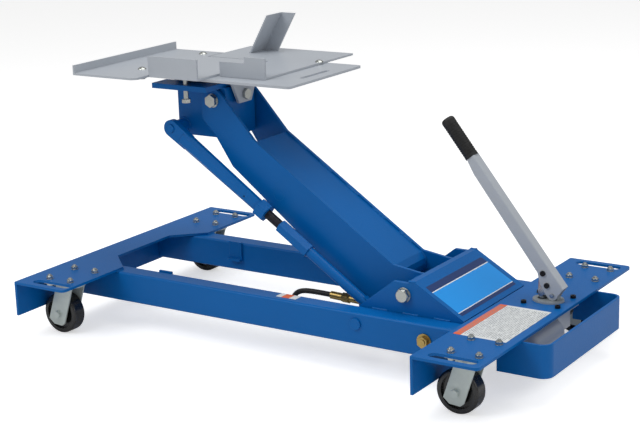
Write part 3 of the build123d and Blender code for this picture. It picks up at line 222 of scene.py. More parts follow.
def make_finishes():
    """One material for each slot of the record."""
    c = bpy.context.scene.jack_finish
    pick = {key: tuple(getattr(c, key)) for key in c.__annotations__}
    return {
        # Powder coat over mild steel: glossy, with 3 mm orange peel and a paler painted highlight on its edges.
        "blue_paint": finish("powder_coated_steel_blue", pick["blue"], rough=0.34, spread=0.07,
                             patch_mm=140.0, grain_mm=3.0, relief=0.10, edge_highlight_colour=linear("#2f86c6"),
                             edge_highlight_level=0.5, edge_mm=1.4, sheen_level=0.2),
        # Sprayed light grey enamel: satin, slightly mottled, with a painted highlight on its edges.
        "grey_paint": finish("sprayed_enamel_light_grey", pick["light_grey"], rough=0.36,
                             spread=0.05, patch_mm=90.0, grain_mm=2.5, relief=0.08,
                             edge_highlight_colour=linear("#e6e9ec"), edge_highlight_level=0.5, edge_mm=1.2, coat=0.1),
        # Bright zinc plate: mirror-like but cloudy at the scale of a nut.
        "zinc": finish("bright_zinc_plate", pick["zinc"], rough=0.28, metallic=1.0, spread=0.10,
                       patch_mm=9.0, grain_mm=1.2, relief=0.05, edge_mm=0.6),
        # Dull zinc on pressed steel: greenish white with rolled streaks.
        "fork_zinc": finish("dull_zinc_pressed_steel", pick["fork_zinc"], rough=0.42,
                            metallic=0.35, spread=0.10, patch_mm=16.0, grain_mm=2.0, relief=0.06,
                            edge_mm=0.9, stretch=(1.0, 1.0, 0.25)),
        # Yellow chromate over zinc: warm, slightly blotchy.
        "yellow_zinc": finish("yellow_chromate_zinc", pick["brass_zinc"], rough=0.34, metallic=1.0,
                              spread=0.16, patch_mm=8.0, grain_mm=1.2, relief=0.05, edge_mm=0.6),
        # Oiled, blackened steel: dark with dry patches.
        "dark_steel": finish("oiled_blackened_steel", pick["dark_steel"], rough=0.42, metallic=0.9,
                             spread=0.25, patch_mm=10.0, grain_mm=1.0, relief=0.10, edge_mm=0.5),
        # Ground and polished steel: fine lines round the rod.
        "bare_steel": finish("ground_steel", pick["bare_steel"], rough=0.22, metallic=1.0,
                             spread=0.06, patch_mm=20.0, grain_mm=1.5, relief=0.04, edge_mm=0.6,
                             stretch=(1.0, 0.2, 1.0)),
        # Black oxide on alloy screws: nearly black, satin.
        "black_oxide": finish("black_oxide_steel", pick["black_oxide"], rough=0.38, metallic=0.6,
                              spread=0.20, patch_mm=6.0, grain_mm=1.0, relief=0.08, edge_mm=0.5),
        # Painted sand casting: matte, with the pebbled skin of the mould and a painted highlight on its edges.
        "cast_grey": finish("painted_sand_casting", pick["cast_iron"], rough=0.50, spread=0.12,
                            patch_mm=14.0, grain_mm=2.2, relief=0.45, edge_highlight_colour=linear("#c9ced2"),
                            edge_highlight_level=0.5, edge_mm=1.6),
        # Moulded phenolic wheel: glossy black with a dusty mottle and a painted highlight on its edges.
        "phenolic": finish("moulded_phenolic", pick["phenolic"], rough=0.26, spread=0.30,
                           patch_mm=22.0, grain_mm=2.0, relief=0.06, edge_highlight_colour=linear("#4a4a4c"),
                           edge_highlight_level=0.35, edge_mm=1.2, ior=1.6),
        # Moulded rubber: deep black, dull, faintly dusty.
        "rubber": finish("moulded_rubber", pick["rubber"], rough=0.55, spread=0.25, patch_mm=18.0,
                         grain_mm=1.4, relief=0.12, edge_mm=0.8),
        # Textured plastic knob: charcoal with a fine spark-eroded grain.
        "knob": finish("textured_black_plastic", linear("#222225"), rough=0.45,
                       spread=0.15, patch_mm=10.0, grain_mm=0.9, relief=0.15, edge_mm=0.8),
    }


def banded_label(name, axis, bands):
    """Printed vinyl in plain bands, each a start in metres along the axis and a colour."""
    material, tree, shader = new_material(name)
    place = add_node(tree, "ShaderNodeTexCoord").outputs["Object"]
    along = add_node(tree, "ShaderNodeVectorMath", operation="DOT_PRODUCT", values={1: axis},
                     links={0: place})
    base = None
    for start, colour in bands:
        if base is None:
            base = add_node(tree, "ShaderNodeRGB").outputs["Color"]
            base.default_value = linear(colour) + (1.0,)
            continue
        past = add_node(tree, "ShaderNodeMath", operation="GREATER_THAN", values={1: start},
                        links={0: along.outputs["Value"]})
        mix = add_node(tree, "ShaderNodeMix", data_type="RGBA",
                       values={MIX_B: linear(colour) + (1.0,)},
                       links={"Factor": past.outputs["Value"], MIX_A: base})
        base = mix.outputs[MIX_RESULT]
    tree.links.new(base, shader.inputs["Base Color"])
    shader.inputs["Roughness"].default_value = 0.28
    shader.inputs["IOR"].default_value = 1.5
    return material, tree, base, place


# ---- mesh helpers -------------------------------------------------------------------------
def linked(name, data):
    """New object in the scene that shows this data."""
    piece = bpy.data.objects.new(name, data)
    bpy.context.scene.collection.objects.link(piece)
    return piece


def mesh_object(name, bm, material, smooth=True):
    """Piece made from a bmesh, with its faces turned outwards."""
    mesh = bpy.data.meshes.new(name)
    bmesh.ops.recalc_face_normals(bm, faces=bm.faces)
    bm.to_mesh(mesh)
    bm.free()
    mesh.polygons.foreach_set("use_smooth", [smooth] * len(mesh.polygons))
    piece = linked(name, mesh)
    piece.data.materials.append(material)
    return piece


def baked(piece):
    """Swap a piece's live modifiers or curve for the plain mesh they give."""
    depsgraph = bpy.context.evaluated_depsgraph_get()
    mesh = bpy.data.meshes.new_from_object(piece.evaluated_get(depsgraph))
    name = piece.name
    bpy.data.objects.remove(piece)
    if not any(mesh.materials):
        raise RuntimeError(f"{name} lost its material")
    return linked(name, mesh)


def finished(piece, body, slot, *replaced):
    """Hand a piece to the frame: its body and the CAD nodes it stands for. The slot is not used."""
    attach(piece, body)
    if replaced:
        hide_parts(*replaced)
    return piece


def group_tree(name, sockets):
    """Geometry tree with named inputs and its group input and output nodes."""
    tree = bpy.data.node_groups.new(name, "GeometryNodeTree")
    tree.interface.new_socket(name="Geometry", in_out="INPUT", socket_type="NodeSocketGeometry")
    for label, kind, value in sockets:
        item = tree.interface.new_socket(name=label, in_out="INPUT", socket_type=kind)
        if value is not None:
            item.default_value = value
    tree.interface.new_socket(name="Geometry", in_out="OUTPUT", socket_type="NodeSocketGeometry")
    return tree, add_node(tree, "NodeGroupInput"), add_node(tree, "NodeGroupOutput")


def run_tree(piece, tree, **values):
    """Run a geometry tree on a piece and keep the plain mesh."""
    modifier = piece.modifiers.new(tree.name, "NODES")
    modifier.node_group = tree
    for item in tree.interface.items_tree:
        key = item.name.lower().replace(" ", "_")
        if item.in_out == "INPUT" and key in values:
            modifier[item.identifier] = values[key]
    piece.update_tag()
    return baked(piece)


def path_object(name, runs):
    """Loose edges along each run of points."""
    mesh = bpy.data.meshes.new(name)
    points, edges = [], []
    for run in runs:
        first = len(points)
        points += [tuple(p) for p in run]
        edges += [(first + i, first + i + 1) for i in range(len(run) - 1)]
    mesh.from_pydata(points, edges, [])
    return linked(name, mesh)


def weld_tree():
    """Rippled bead along each run: a core tube with overlapping drops of varying size."""
    tree, given, result = group_tree("weld_bead", [
        ("Bead radius", "NodeSocketFloat", 0.003), ("Bead pitch", "NodeSocketFloat", 0.003),
        ("Seed", "NodeSocketInt", 4), ("Material", "NodeSocketMaterial", None)])
    curve = add_node(tree, "GeometryNodeMeshToCurve", links={"Mesh": given.outputs["Geometry"]})
    steps = add_node(tree, "GeometryNodeResampleCurve", mode="LENGTH",
                     links={"Curve": curve.outputs["Curve"], "Length": given.outputs["Bead pitch"]})
    drop = add_node(tree, "GeometryNodeMeshUVSphere", values={"Segments": 8, "Rings": 5},
                    links={"Radius": given.outputs["Bead radius"]})
    tangent = add_node(tree, "GeometryNodeInputTangent")
    turned = add_node(tree, "FunctionNodeAlignRotationToVector", axis="Z",
                      links={"Vector": tangent.outputs["Tangent"]})
    size = add_node(tree, "FunctionNodeRandomValue", data_type="FLOAT",
                    values={2: 0.86, 3: 1.12}, links={"Seed": given.outputs["Seed"]})
    drops = add_node(tree, "GeometryNodeInstanceOnPoints",
                     links={"Points": steps.outputs["Curve"], "Instance": drop.outputs["Mesh"],
                            "Rotation": turned.outputs["Rotation"], "Scale": size.outputs[1]})
    thin = add_node(tree, "ShaderNodeMath", operation="MULTIPLY", values={1: 0.85},
                    links={0: given.outputs["Bead radius"]})
    ring = add_node(tree, "GeometryNodeCurvePrimitiveCircle", values={"Resolution": 8},
                    links={"Radius": thin.outputs["Value"]})
    core = add_node(tree, "GeometryNodeCurveToMesh", values={"Fill Caps": True},
                    links={"Curve": curve.outputs["Curve"], "Profile Curve": ring.outputs["Curve"]})
    whole = add_node(tree, "GeometryNodeJoinGeometry")
    tree.links.new(core.outputs["Mesh"], whole.inputs["Geometry"])
    tree.links.new(drops.outputs["Instances"], whole.inputs["Geometry"])
    real = add_node(tree, "GeometryNodeRealizeInstances",
                    links={"Geometry": whole.outputs["Geometry"]})
    smooth = add_node(tree, "GeometryNodeSetShadeSmooth",
                      links={"Geometry": real.outputs["Geometry"]})
    coated = add_node(tree, "GeometryNodeSetMaterial",
                      links={"Geometry": smooth.outputs["Geometry"],
                             "Material": given.outputs["Material"]})
    tree.links.new(coated.outputs["Geometry"], result.inputs["Geometry"])
    return tree


def thread_tree():
    """Helical crest round the Z axis, from z = 0 upwards."""
    tree, given, result = group_tree("screw_thread", [
        ("Turns", "NodeSocketFloat", 10.0), ("Thread radius", "NodeSocketFloat", 0.01),
        ("Length", "NodeSocketFloat", 0.03), ("Crest", "NodeSocketFloat", 0.001),
        ("Material", "NodeSocketMaterial", None)])
    spiral = add_node(tree, "GeometryNodeCurveSpiral", values={"Resolution": 24},
                      links={"Rotations": given.outputs["Turns"],
                             "Start Radius": given.outputs["Thread radius"],
                             "End Radius": given.outputs["Thread radius"],
                             "Height": given.outputs["Length"]})
    profile = add_node(tree, "GeometryNodeCurvePrimitiveCircle", values={"Resolution": 4},
                       links={"Radius": given.outputs["Crest"]})
    ridge = add_node(tree, "GeometryNodeCurveToMesh", values={"Fill Caps": True},
                     links={"Curve": spiral.outputs["Curve"],
                            "Profile Curve": profile.outputs["Curve"]})
    real = add_node(tree, "GeometryNodeRealizeInstances", links={"Geometry": ridge.outputs["Mesh"]})
    coated = add_node(tree, "GeometryNodeSetMaterial",
                      links={"Geometry": real.outputs["Geometry"],
                             "Material": given.outputs["Material"]})
    tree.links.new(coated.outputs["Geometry"], result.inputs["Geometry"])
    return tree


def spread_tree():
    """Copies of a template at each point, each turned about Z by its own seeded angle."""
    tree, given, result = group_tree("spread_parts", [
        ("Template", "NodeSocketObject", None), ("Seed", "NodeSocketInt", 2),
        ("Material", "NodeSocketMaterial", None)])
    points = add_node(tree, "GeometryNodeMeshToPoints", links={"Mesh": given.outputs["Geometry"]})
    shape = add_node(tree, "GeometryNodeObjectInfo", links={"Object": given.outputs["Template"]})
    angle = add_node(tree, "FunctionNodeRandomValue", data_type="FLOAT", values={3: math.tau},
                     links={"Seed": given.outputs["Seed"]})
    turn = add_node(tree, "ShaderNodeCombineXYZ", links={"Z": angle.outputs[1]})
    copies = add_node(tree, "GeometryNodeInstanceOnPoints",
                      links={"Points": points.outputs["Points"],
                             "Instance": shape.outputs["Geometry"],
                             "Rotation": turn.outputs["Vector"]})
    real = add_node(tree, "GeometryNodeRealizeInstances",
                    links={"Geometry": copies.outputs["Instances"]})
    coated = add_node(tree, "GeometryNodeSetMaterial",
                      links={"Geometry": real.outputs["Geometry"],
                             "Material": given.outputs["Material"]})
    tree.links.new(coated.outputs["Geometry"], result.inputs["Geometry"])
    return tree


# ---- places on the frame ------------------------------------------------------------------
def joint_place(name):
    """Anchor of a joint, in metres."""
    return Vector(next(j for j in frame["joints"] if j["name"] == name)["pos_m"])


def box_of(node):
    """Low and high corner of a node, in metres."""
    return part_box(node)


PIVOT = joint_place("arm_lift")
HEAD = joint_place("head_level")
LIFT = (HEAD - PIVOT).normalized()
DOWN = Vector((LIFT.z, 0.0, -LIFT.x)) if LIFT.x > 0 else Vector((-LIFT.z, 0.0, LIFT.x))


def arm_place(along_mm, below_mm, y_mm):
    """Point of the arm: along it from its pivot and below the line of its pivots."""
    point = PIVOT + LIFT * along_mm * MM + DOWN * below_mm * MM
    return Vector((point.x, y_mm * MM, point.z))


def stitches(start, end, count, share):
    """Short runs spaced evenly between two points."""
    runs = []
    for i in range(count):
        middle = (i + 0.5) / count
        runs.append([start.lerp(end, middle - share / count / 2),
                     start.lerp(end, middle + share / count / 2)])
    return runs


def hoop(centre, radius, steps=24):
    """Closed run round a boss whose axis is Y."""
    return [centre + Vector((math.cos(a), 0.0, math.sin(a))) * radius
            for a in (math.tau * i / steps for i in range(steps + 1))]


def base_welds():
    """Runs that join the rails, deck plates, gussets, cover and guard."""
    runs = []
    front = box_of("front_crossmember")
    rear = box_of("rear_crossmember")
    rail_low, rail_high = box_of("rail_left")
    deck = rail_high.z
    gusset_low, gusset_high = box_of("arm_gussets")
    guard_low, guard_high = box_of("pump_guard")
    cover_low, cover_high = box_of("cover_plate")
    for side in (-1, 1):
        inner, outer = side * rail_low.y, side * rail_high.y
        runs.append([Vector((front[1].x, outer, deck)), Vector((front[1].x, side * 0.181, deck))])
        runs.append([Vector((front[0].x + 0.0064, outer, 0.072)),
                     Vector((front[0].x + 0.0064, outer, deck - 0.006))])
        runs.append([Vector((rear[0].x, outer, 0.072)), Vector((rear[0].x, outer, deck - 0.004))])
        runs += stitches(Vector((gusset_low.x + 0.02, inner, deck)),
                         Vector((gusset_high.x - 0.02, inner, deck)), 3, 0.45)
        runs.append([Vector((cover_low.x + 0.002, inner * 0.985, cover_high.z - 0.001)),
                     Vector((cover_low.x + 0.015, inner * 0.985, cover_high.z - 0.001))])
        runs += stitches(Vector((guard_low.x + 0.004, side * guard_high.y, deck - 0.002)),
                         Vector((rear[1].x - 0.004, side * guard_high.y, deck - 0.002)), 2, 0.5)
    return runs


def arm_welds():
    """Runs inside the arm's top corners, round its tube and round the lift bar."""
    runs = []
    for side in (-1, 1):
        y = side * ARM_WELD_Y
        runs += stitches(arm_place(90.0, 12.0, y), arm_place(540.0, 12.0, y), 5, 0.42)
        runs.append(hoop(Vector((PIVOT.x, side * 0.0732, PIVOT.z)), 0.0215))
        runs.append([arm_place(u, v, y)
                     for u, v in ((83.0, 12.5), (66.0, 18.0), (58.0, 29.0), (52.0, 43.0))])
    return runs


def head_welds():
    """Runs under the head plate and round the link's boss."""
    low, high = box_of("head_box")
    runs = []
    for side in (-1, 1):
        y = side * high.y
        runs.append([Vector((low.x + 0.004, y, high.z)), Vector((high.x - 0.004, y, high.z))])
    pin_low, pin_high = box_of("link_upper_pin")
    centre = Vector(((pin_low.x + pin_high.x) / 2, low.y, (pin_low.z + pin_high.z) / 2))
    runs.append(hoop(centre, (pin_high.z - pin_low.z) / 2 + 0.0005))
    return runs


def saddle_welds():
    """Runs that join the two clevises to the underside of the saddle."""
    low, high = box_of("saddle_clevises")
    runs = []
    for x in (low.x, low.x + 0.008, high.x - 0.008, high.x):
        runs.append([Vector((x, -0.056, high.z - 0.0005)), Vector((x, 0.056, high.z - 0.0005))])
    return runs


def upright_welds():
    """Runs at the foot of the leaning angle."""
    low, _ = box_of("upright_angle")
    face = low.y + 0.066
    return [[Vector((low.x + 0.004, face, low.z)), Vector((low.x + 0.044, face, low.z))],
            [Vector((low.x, low.y + 0.004, low.z)), Vector((low.x, face - 0.004, low.z))]]


# ---- fasteners ----------------------------------------------------------------------------
def prism_rings(bm, rings):
    """Skin between rings of equal count, closed at both ends."""
    loops = [[bm.verts.new(p) for p in ring] for ring in rings]
    for a, b in zip(loops, loops[1:]):
        for i in range(len(a)):
            j = (i + 1) % len(a)
            bm.faces.new((a[i], a[j], b[j], b[i]))
    bm.faces.new(list(reversed(loops[0])))
    bm.faces.new(loops[-1])


def hex_ring(across, z, dip=0.0):
    """Twelve points of a hexagon: corners and middles of its flats, corners lowered by dip."""
    points = []
    for i in range(12):
        angle = math.tau * i / 12
        corner = i % 2 == 0
        radius = across / 2 / (math.cos(math.pi / 6) if corner else 1.0)
        points.append((radius * math.cos(angle), radius * math.sin(angle),
                       z - (dip if corner else 0.0)))
    return points


def round_ring(radius, z, count=12):
    """Points of a circle round the Z axis."""
    return [(radius * math.cos(math.tau * i / count), radius * math.sin(math.tau * i / count), z)
            for i in range(count)]


def add_hex(bm, across, z0, z1, both=False):
    """Hexagonal head or nut with its corners turned off at the top, or at both faces."""
    cut = across * 0.07
    crown = across * 0.475
    top = [hex_ring(across, z1 - cut * 0.3, cut), round_ring(crown, z1)]
    low = [hex_ring(across, z0)]
    if both:
        low = [round_ring(crown, z0), hex_ring(across, z0 + cut * 0.3, -cut)]
    prism_rings(bm, low + top)


def add_round(bm, radius, z0, z1, edge, count=24):
    """Round washer, shank or rod end with both edges eased."""
    prism_rings(bm, [round_ring(radius - edge, z0, count), round_ring(radius, z0 + edge, count),
                     round_ring(radius, z1 - edge, count), round_ring(radius - edge, z1, count)])


def add_thread(bm, radius, z0, z1, pitch):
    """Stack of crests that reads as a thread on a short bolt end."""
    rings, z = [round_ring(radius * 0.82, z0)], z0
    while z + pitch <= z1:
        rings += [round_ring(radius, z + pitch * 0.5), round_ring(radius * 0.86, z + pitch)]
        z += pitch
    prism_rings(bm, rings)


def turned(bm, origin, axis):
    """Turn a bolt built along Z to an axis, and put its seat at the origin point."""
    spin = Vector((0, 0, 1)).rotation_difference(Vector(axis)).to_matrix().to_4x4()
    bmesh.ops.transform(bm, matrix=Matrix.Translation(origin) @ spin, verts=bm.verts)


def merged(parts):
    """One bmesh from several."""
    whole = bmesh.new()
    for part in parts:
        mesh = bpy.data.meshes.new("part")
        part.to_mesh(mesh)
        part.free()
        whole.from_mesh(mesh)
        bpy.data.meshes.remove(mesh)
    return whole


def caster_bolt(plate_bottom, deck_top):
    """Hex bolt up through a caster plate and the deck, with a nut on the deck."""
    bm = bmesh.new()
    add_hex(bm, 0.015, deck_top + 0.0012, deck_top + 0.0080, both=True)
    add_round(bm, 0.0085, deck_top, deck_top + 0.0012, 0.0003)
    add_thread(bm, 0.0048, deck_top + 0.0078, deck_top + 0.0118, 0.0013)
    add_round(bm, 0.0049, plate_bottom - 0.001, deck_top + 0.001, 0.0002, 12)
    head = bmesh.new()
    add_hex(head, 0.015, 0.0, 0.006)
    flip = Matrix.Translation((0, 0, plate_bottom)) @ Matrix.Rotation(math.pi, 4, "X")
    bmesh.ops.transform(head, verts=head.verts, matrix=flip)
    return merged([bm, head])


def pivot_bolt(seat, axis, across, washer_r, shank_r, length):
    """Flange-washered hex bolt whose head stands outside a plate."""
    bm = bmesh.new()
    add_round(bm, washer_r, 0.0, 0.0025, 0.0005, 32)
    add_hex(bm, across, 0.0025, 0.0130)
    add_round(bm, shank_r, -length, 0.001, 0.0005, 32)
    turned(bm, seat, axis)
    return bm


# ---- labels -------------------------------------------------------------------------------
def label_plate(name, origin, across, along, size, material, body, corner=0.003):
    """Thin vinyl label with rounded corners: across and along are unit vectors on the surface."""
    lift = bpy.context.scene.jack_detail.decal_lift
    normal = across.cross(along).normalized()
    half_a, half_b = size[0] / 2, size[1] / 2
    outline = []
    for sx, sy, start in ((1, 1, 0), (-1, 1, 90), (-1, -1, 180), (1, -1, 270)):
        for step in range(5):
            angle = math.radians(start + step * 22.5)
            outline.append(((half_a - corner) * sx + corner * math.cos(angle),
                            (half_b - corner) * sy + corner * math.sin(angle)))
    bm = bmesh.new()
    rings = [[origin + across * a + along * b + normal * h for a, b in outline]
             for h in (0.00005, lift * 0.8)]
    in_a, in_b = 1 - 0.2 * MM / half_a, 1 - 0.2 * MM / half_b
    rings.append([origin + across * a * in_a + along * b * in_b + normal * lift
                  for a, b in outline])
    prism_rings(bm, rings)
    piece = mesh_object(name, bm, material, smooth=False)
    return finished(piece, body, "blue_paint")


def printed_lines(tree, base, place, axis, across, period, inset_from, inset_to, ink):
    """Fine broken grey lines in place of print, between two limits across the label."""
    run = add_node(tree, "ShaderNodeVectorMath", operation="DOT_PRODUCT", values={1: axis},
                   links={0: place})
    side = add_node(tree, "ShaderNodeVectorMath", operation="DOT_PRODUCT", values={1: across},
                    links={0: place})
    rows = add_node(tree, "ShaderNodeMath", operation="DIVIDE", values={1: period},
                    links={0: run.outputs["Value"]})
    wave = add_node(tree, "ShaderNodeMath", operation="FRACT", links={0: rows.outputs["Value"]})
    line = add_node(tree, "ShaderNodeMath", operation="LESS_THAN", values={1: 0.42},
                    links={0: wave.outputs["Value"]})
    after = add_node(tree, "ShaderNodeMath", operation="GREATER_THAN", values={1: inset_from},
                     links={0: side.outputs["Value"]})
    before = add_node(tree, "ShaderNodeMath", operation="LESS_THAN", values={1: inset_to},
                      links={0: side.outputs["Value"]})
    grain = tuple(60.0 * abs(a) + 900.0 * abs(b) + 1.0 for a, b in zip(across, axis))
    stretch = add_node(tree, "ShaderNodeVectorMath", operation="MULTIPLY", values={1: grain},
                       links={0: place})
    words = add_node(tree, "ShaderNodeTexNoise", values={"Scale": 1.0, "Detail": 1.0},
                     links={"Vector": stretch.outputs["Vector"]})
    shown = add_node(tree, "ShaderNodeMath", operation="GREATER_THAN", values={1: 0.44},
                     links={0: words.outputs["Fac"]})
    mask = line.outputs["Value"]
    for other in (after, before, shown):
        mask = add_node(tree, "ShaderNodeMath", operation="MULTIPLY",
                        links={0: mask, 1: other.outputs["Value"]}).outputs["Value"]
    mix = add_node(tree, "ShaderNodeMix", data_type="RGBA", values={MIX_B: linear(ink) + (1.0,)},
                   links={"Factor": mask, MIX_A: base})
    shader = next(n for n in tree.nodes if n.type == "BSDF_PRINCIPLED")
    tree.links.new(mix.outputs[MIX_RESULT], shader.inputs["Base Color"])


# ---- operators ----------------------------------------------------------------------------
class JACK_OT_finishes(bpy.types.Operator):
    """Give every part of the frame its finish"""
    bl_idname = "jack.finishes"
    bl_label = "Finishes"

    def execute(self, context):
        finishes = make_finishes()
        for row in frame["record"]["subparts"]:
            node, slot = row["node"], row["material_slot"]
            if node.startswith(("caster_fork", "caster_plates")):
                slot = "fork_zinc"
            part = frame["nodes"][node]
            if not part.material_slots:
                raise RuntimeError(f"{node} has no material slot")
            for place in part.material_slots:
                place.material = finishes[slot]
        return {"FINISHED"}


def material_of(node):
    """Material that a node wears now."""
    return frame["nodes"][node].material_slots[0].material


class JACK_OT_welds(bpy.types.Operator):
    """Lay the weld beads of the frame, arm, head, saddle and upright"""
    bl_idname = "jack.welds"
    bl_label = "Weld beads"

    def execute(self, context):
        detail = context.scene.jack_detail
        tree = weld_tree()
        jobs = (("base", base_welds, "rail_left", "blue_paint"),
                ("arm", arm_welds, "arm_side_left", "blue_paint"),
                ("head", head_welds, "head_box", "blue_paint"),
                ("saddle", saddle_welds, "saddle_base", "grey_paint"),
                ("rear_bracket", upright_welds, "rear_bracket", "grey_paint"))
        for body, runs, like, slot in jobs:
            piece = run_tree(path_object(f"{body}_welds", runs()), tree, seed=4,
                             bead_radius=detail.bead_radius, bead_pitch=detail.bead_pitch,
                             material=material_of(like))
            finished(piece, body, slot)
        return {"FINISHED"}


class JACK_OT_link_thread(bpy.types.Operator):
    """Cut the thread of the levelling link between its collar and its sleeve"""
    bl_idname = "jack.link_thread"
    bl_label = "Link thread"

    def execute(self, context):
        detail = context.scene.jack_detail
        slope = -LIFT
        top = HEAD + Vector((-0.1, 0.0, -0.07))
        start = Vector((top.x, LINK_Y, top.z)) + slope * LINK_THREAD_START
        piece = run_tree(path_object("link_thread", [[Vector(), Vector((0, 0, 0.001))]]),
                         thread_tree(), turns=LINK_THREAD_LENGTH / detail.thread_pitch,
                         thread_radius=LINK_ROD_R - detail.thread_height * 0.4,
                         length=LINK_THREAD_LENGTH, crest=detail.thread_height * 1.4,
                         material=material_of("link_threaded_rod"))
        spin = Vector((0, 0, 1)).rotation_difference(slope).to_matrix().to_4x4()
        piece.data.transform(Matrix.Translation(start) @ spin)
        finished(piece, "link", "dark_steel")
        return {"FINISHED"}


class JACK_OT_fasteners(bpy.types.Operator):
    """Make the bolts, nuts and washers of the casters and pivots"""
    bl_idname = "jack.fasteners"
    bl_label = "Bolts and nuts"

    def execute(self, context):
        zinc = material_of("caster_bolts")
        plate_bottom = box_of("caster_plates")[1].z - CASTER_PLATE_T
        deck_top = box_of("front_crossmember")[1].z
        template = mesh_object("caster_bolt_shape", caster_bolt(plate_bottom, deck_top), zinc,
                               False)
        points = []
        for end in ("front", "rear"):
            for side in ("left", "right"):
                centre = joint_place(f"{end}_{side}_swivel")
                points += [(centre.x + sx * CASTER_HOLE_X, centre.y + sy * CASTER_HOLE_Y, 0.0)
                           for sx in (-1, 1) for sy in (-1, 1)]
        mesh = bpy.data.meshes.new("caster_bolt_places")
        mesh.from_pydata(points, [], [])
        places = linked("caster_bolt_set", mesh)
        piece = run_tree(places, spread_tree(), template=template, seed=2, material=zinc)
        bpy.data.objects.remove(template)
        finished(piece, "base", "zinc", "caster_bolts")
        rail = box_of("rail_left")[0].y
        parts = [pivot_bolt(Vector((PIVOT.x, side * rail, PIVOT.z)), (0, side, 0), 0.030, 0.018,
                            0.012, 0.060) for side in (-1, 1)]
        finished(mesh_object("arm_pivot_bolt_set", merged(parts), zinc, False), "base", "zinc",
                 "arm_pivot_bolts")
        return {"FINISHED"}


class JACK_OT_caster_races(bpy.types.Operator):
    """Add the swaged rims and balls between each caster's plate and fork"""
    bl_idname = "jack.caster_races"
    bl_label = "Caster races"

    def execute(self, context):
        balls = context.scene.jack_detail.race_balls
        for end in ("front", "rear"):
            for side in ("left", "right"):
                centre = joint_place(f"{end}_{side}_swivel")
                bm = bmesh.new()
                prism_rings(bm, [round_ring(r, z, 40) for r, z in RACE_RINGS])
                bmesh.ops.translate(bm, vec=(centre.x, centre.y, 0.0), verts=bm.verts)
                for i in range(balls):
                    angle = math.tau * i / balls
                    at = Matrix.Translation((centre.x + BALL_CIRCLE_R * math.cos(angle),
                                             centre.y + BALL_CIRCLE_R * math.sin(angle), BALL_Z))
                    bmesh.ops.create_icosphere(bm, subdivisions=1, radius=BALL_R, matrix=at)
                piece = mesh_object(f"caster_race_{end}_{side}", bm, material_of("caster_plates"))
                finished(piece, "base", "zinc")
        return {"FINISHED"}


class JACK_OT_hose(bpy.types.Operator):
    """Lay the pressure hose in its loop between the rails"""
    bl_idname = "jack.hose"
    bl_label = "Hose"

    def execute(self, context):
        route = [(26, -47, 117.8), (-19, -47, 119.3), (-64, -49, 117), (-85, -50, 98), (-85, -50, 71),
                 (-66, -50, 52), (-24, -49, 49), (34, -48, 58), (88, -47, 67), (142, -47, 72),
                 (200, -46, 73), (258, -43, 75), (316, -35, 78), (372, -23, 83), (424, -7, 87),
                 (464, 6, 92), (496, 22, 98)]
        data = bpy.data.curves.new("pressure_hose", "CURVE")
        data.dimensions = "3D"
        data.bevel_depth = HOSE_R
        data.bevel_resolution = 6
        data.resolution_u = 12
        data.use_fill_caps = True
        line = data.splines.new("NURBS")
        line.points.add(len(route) - 1)
        for point, place in zip(line.points, route):
            point.co = (place[0] * MM, place[1] * MM, place[2] * MM, 1.0)
        line.order_u = 3
        line.use_endpoint_u = True
        data.materials.append(material_of("hydraulic_hose"))
        piece = linked("pressure_hose", data)
        finished(baked(piece), "base", "rubber", "hydraulic_hose")
        return {"FINISHED"}


class JACK_OT_labels(bpy.types.Operator):
    """Stick the plain banded labels on the cover, the rear deck and the near rail"""
    bl_idname = "jack.labels"
    bl_label = "Labels"

    def execute(self, context):
        low, high = box_of("cover_plate")
        top = Vector((high.x - 0.1261, 0.0, high.z))
        foot = Vector((high.x, 0.0, low.z + 0.0043))
        slope = (foot - top).normalized()
        length = (foot - top).length
        start, finish_at = 0.172 * length, 0.905 * length
        origin = top + slope * (start + finish_at) / 2 + Vector((0, -0.003, 0))
        zero = top.dot(slope)
        bands = [(0.0, LABEL_NAVY)]
        bands += [(zero + share * length, colour) for share, colour in (
            (0.300, LABEL_PALE), (0.318, LABEL_BLUE), (0.828, LABEL_PALE), (0.842, LABEL_NAVY))]
        vinyl = banded_label("printed_vinyl_blue", tuple(slope), bands)[0]
        label_plate("cover_label", origin, slope, Vector((0, 1, 0)), (finish_at - start, 0.272),
                    vinyl, "base")
        deck = box_of("rear_crossmember")[1].z
        white, tree, base, place = banded_label("printed_vinyl_white", (1.0, 0.0, 0.0),
                                                [(0.0, LABEL_ORANGE), (0.4795, LABEL_WHITE)])
        printed_lines(tree, base, place, (1.0, 0.0, 0.0), (0.0, 1.0, 0.0), 0.0052, -0.228, -0.018,
                      LABEL_INK)
        label_plate("deck_label", Vector((0.525, -0.123, deck)), Vector((1, 0, 0)),
                    Vector((0, 1, 0)), (0.128, 0.230), white, "base")
        rail_top = box_of("rail_right")[1].z
        small = banded_label("printed_vinyl_small", (1.0, 0.0, 0.0),
                             [(-1.0, LABEL_WHITE), (-0.028, LABEL_ORANGE), (-0.006, LABEL_WHITE)])[0]
        label_plate("rail_label", Vector((-0.015, -0.171, rail_top)), Vector((1, 0, 0)),
                    Vector((0, 1, 0)), (0.056, 0.026), small, "base", corner=0.0015)
        return {"FINISHED"}


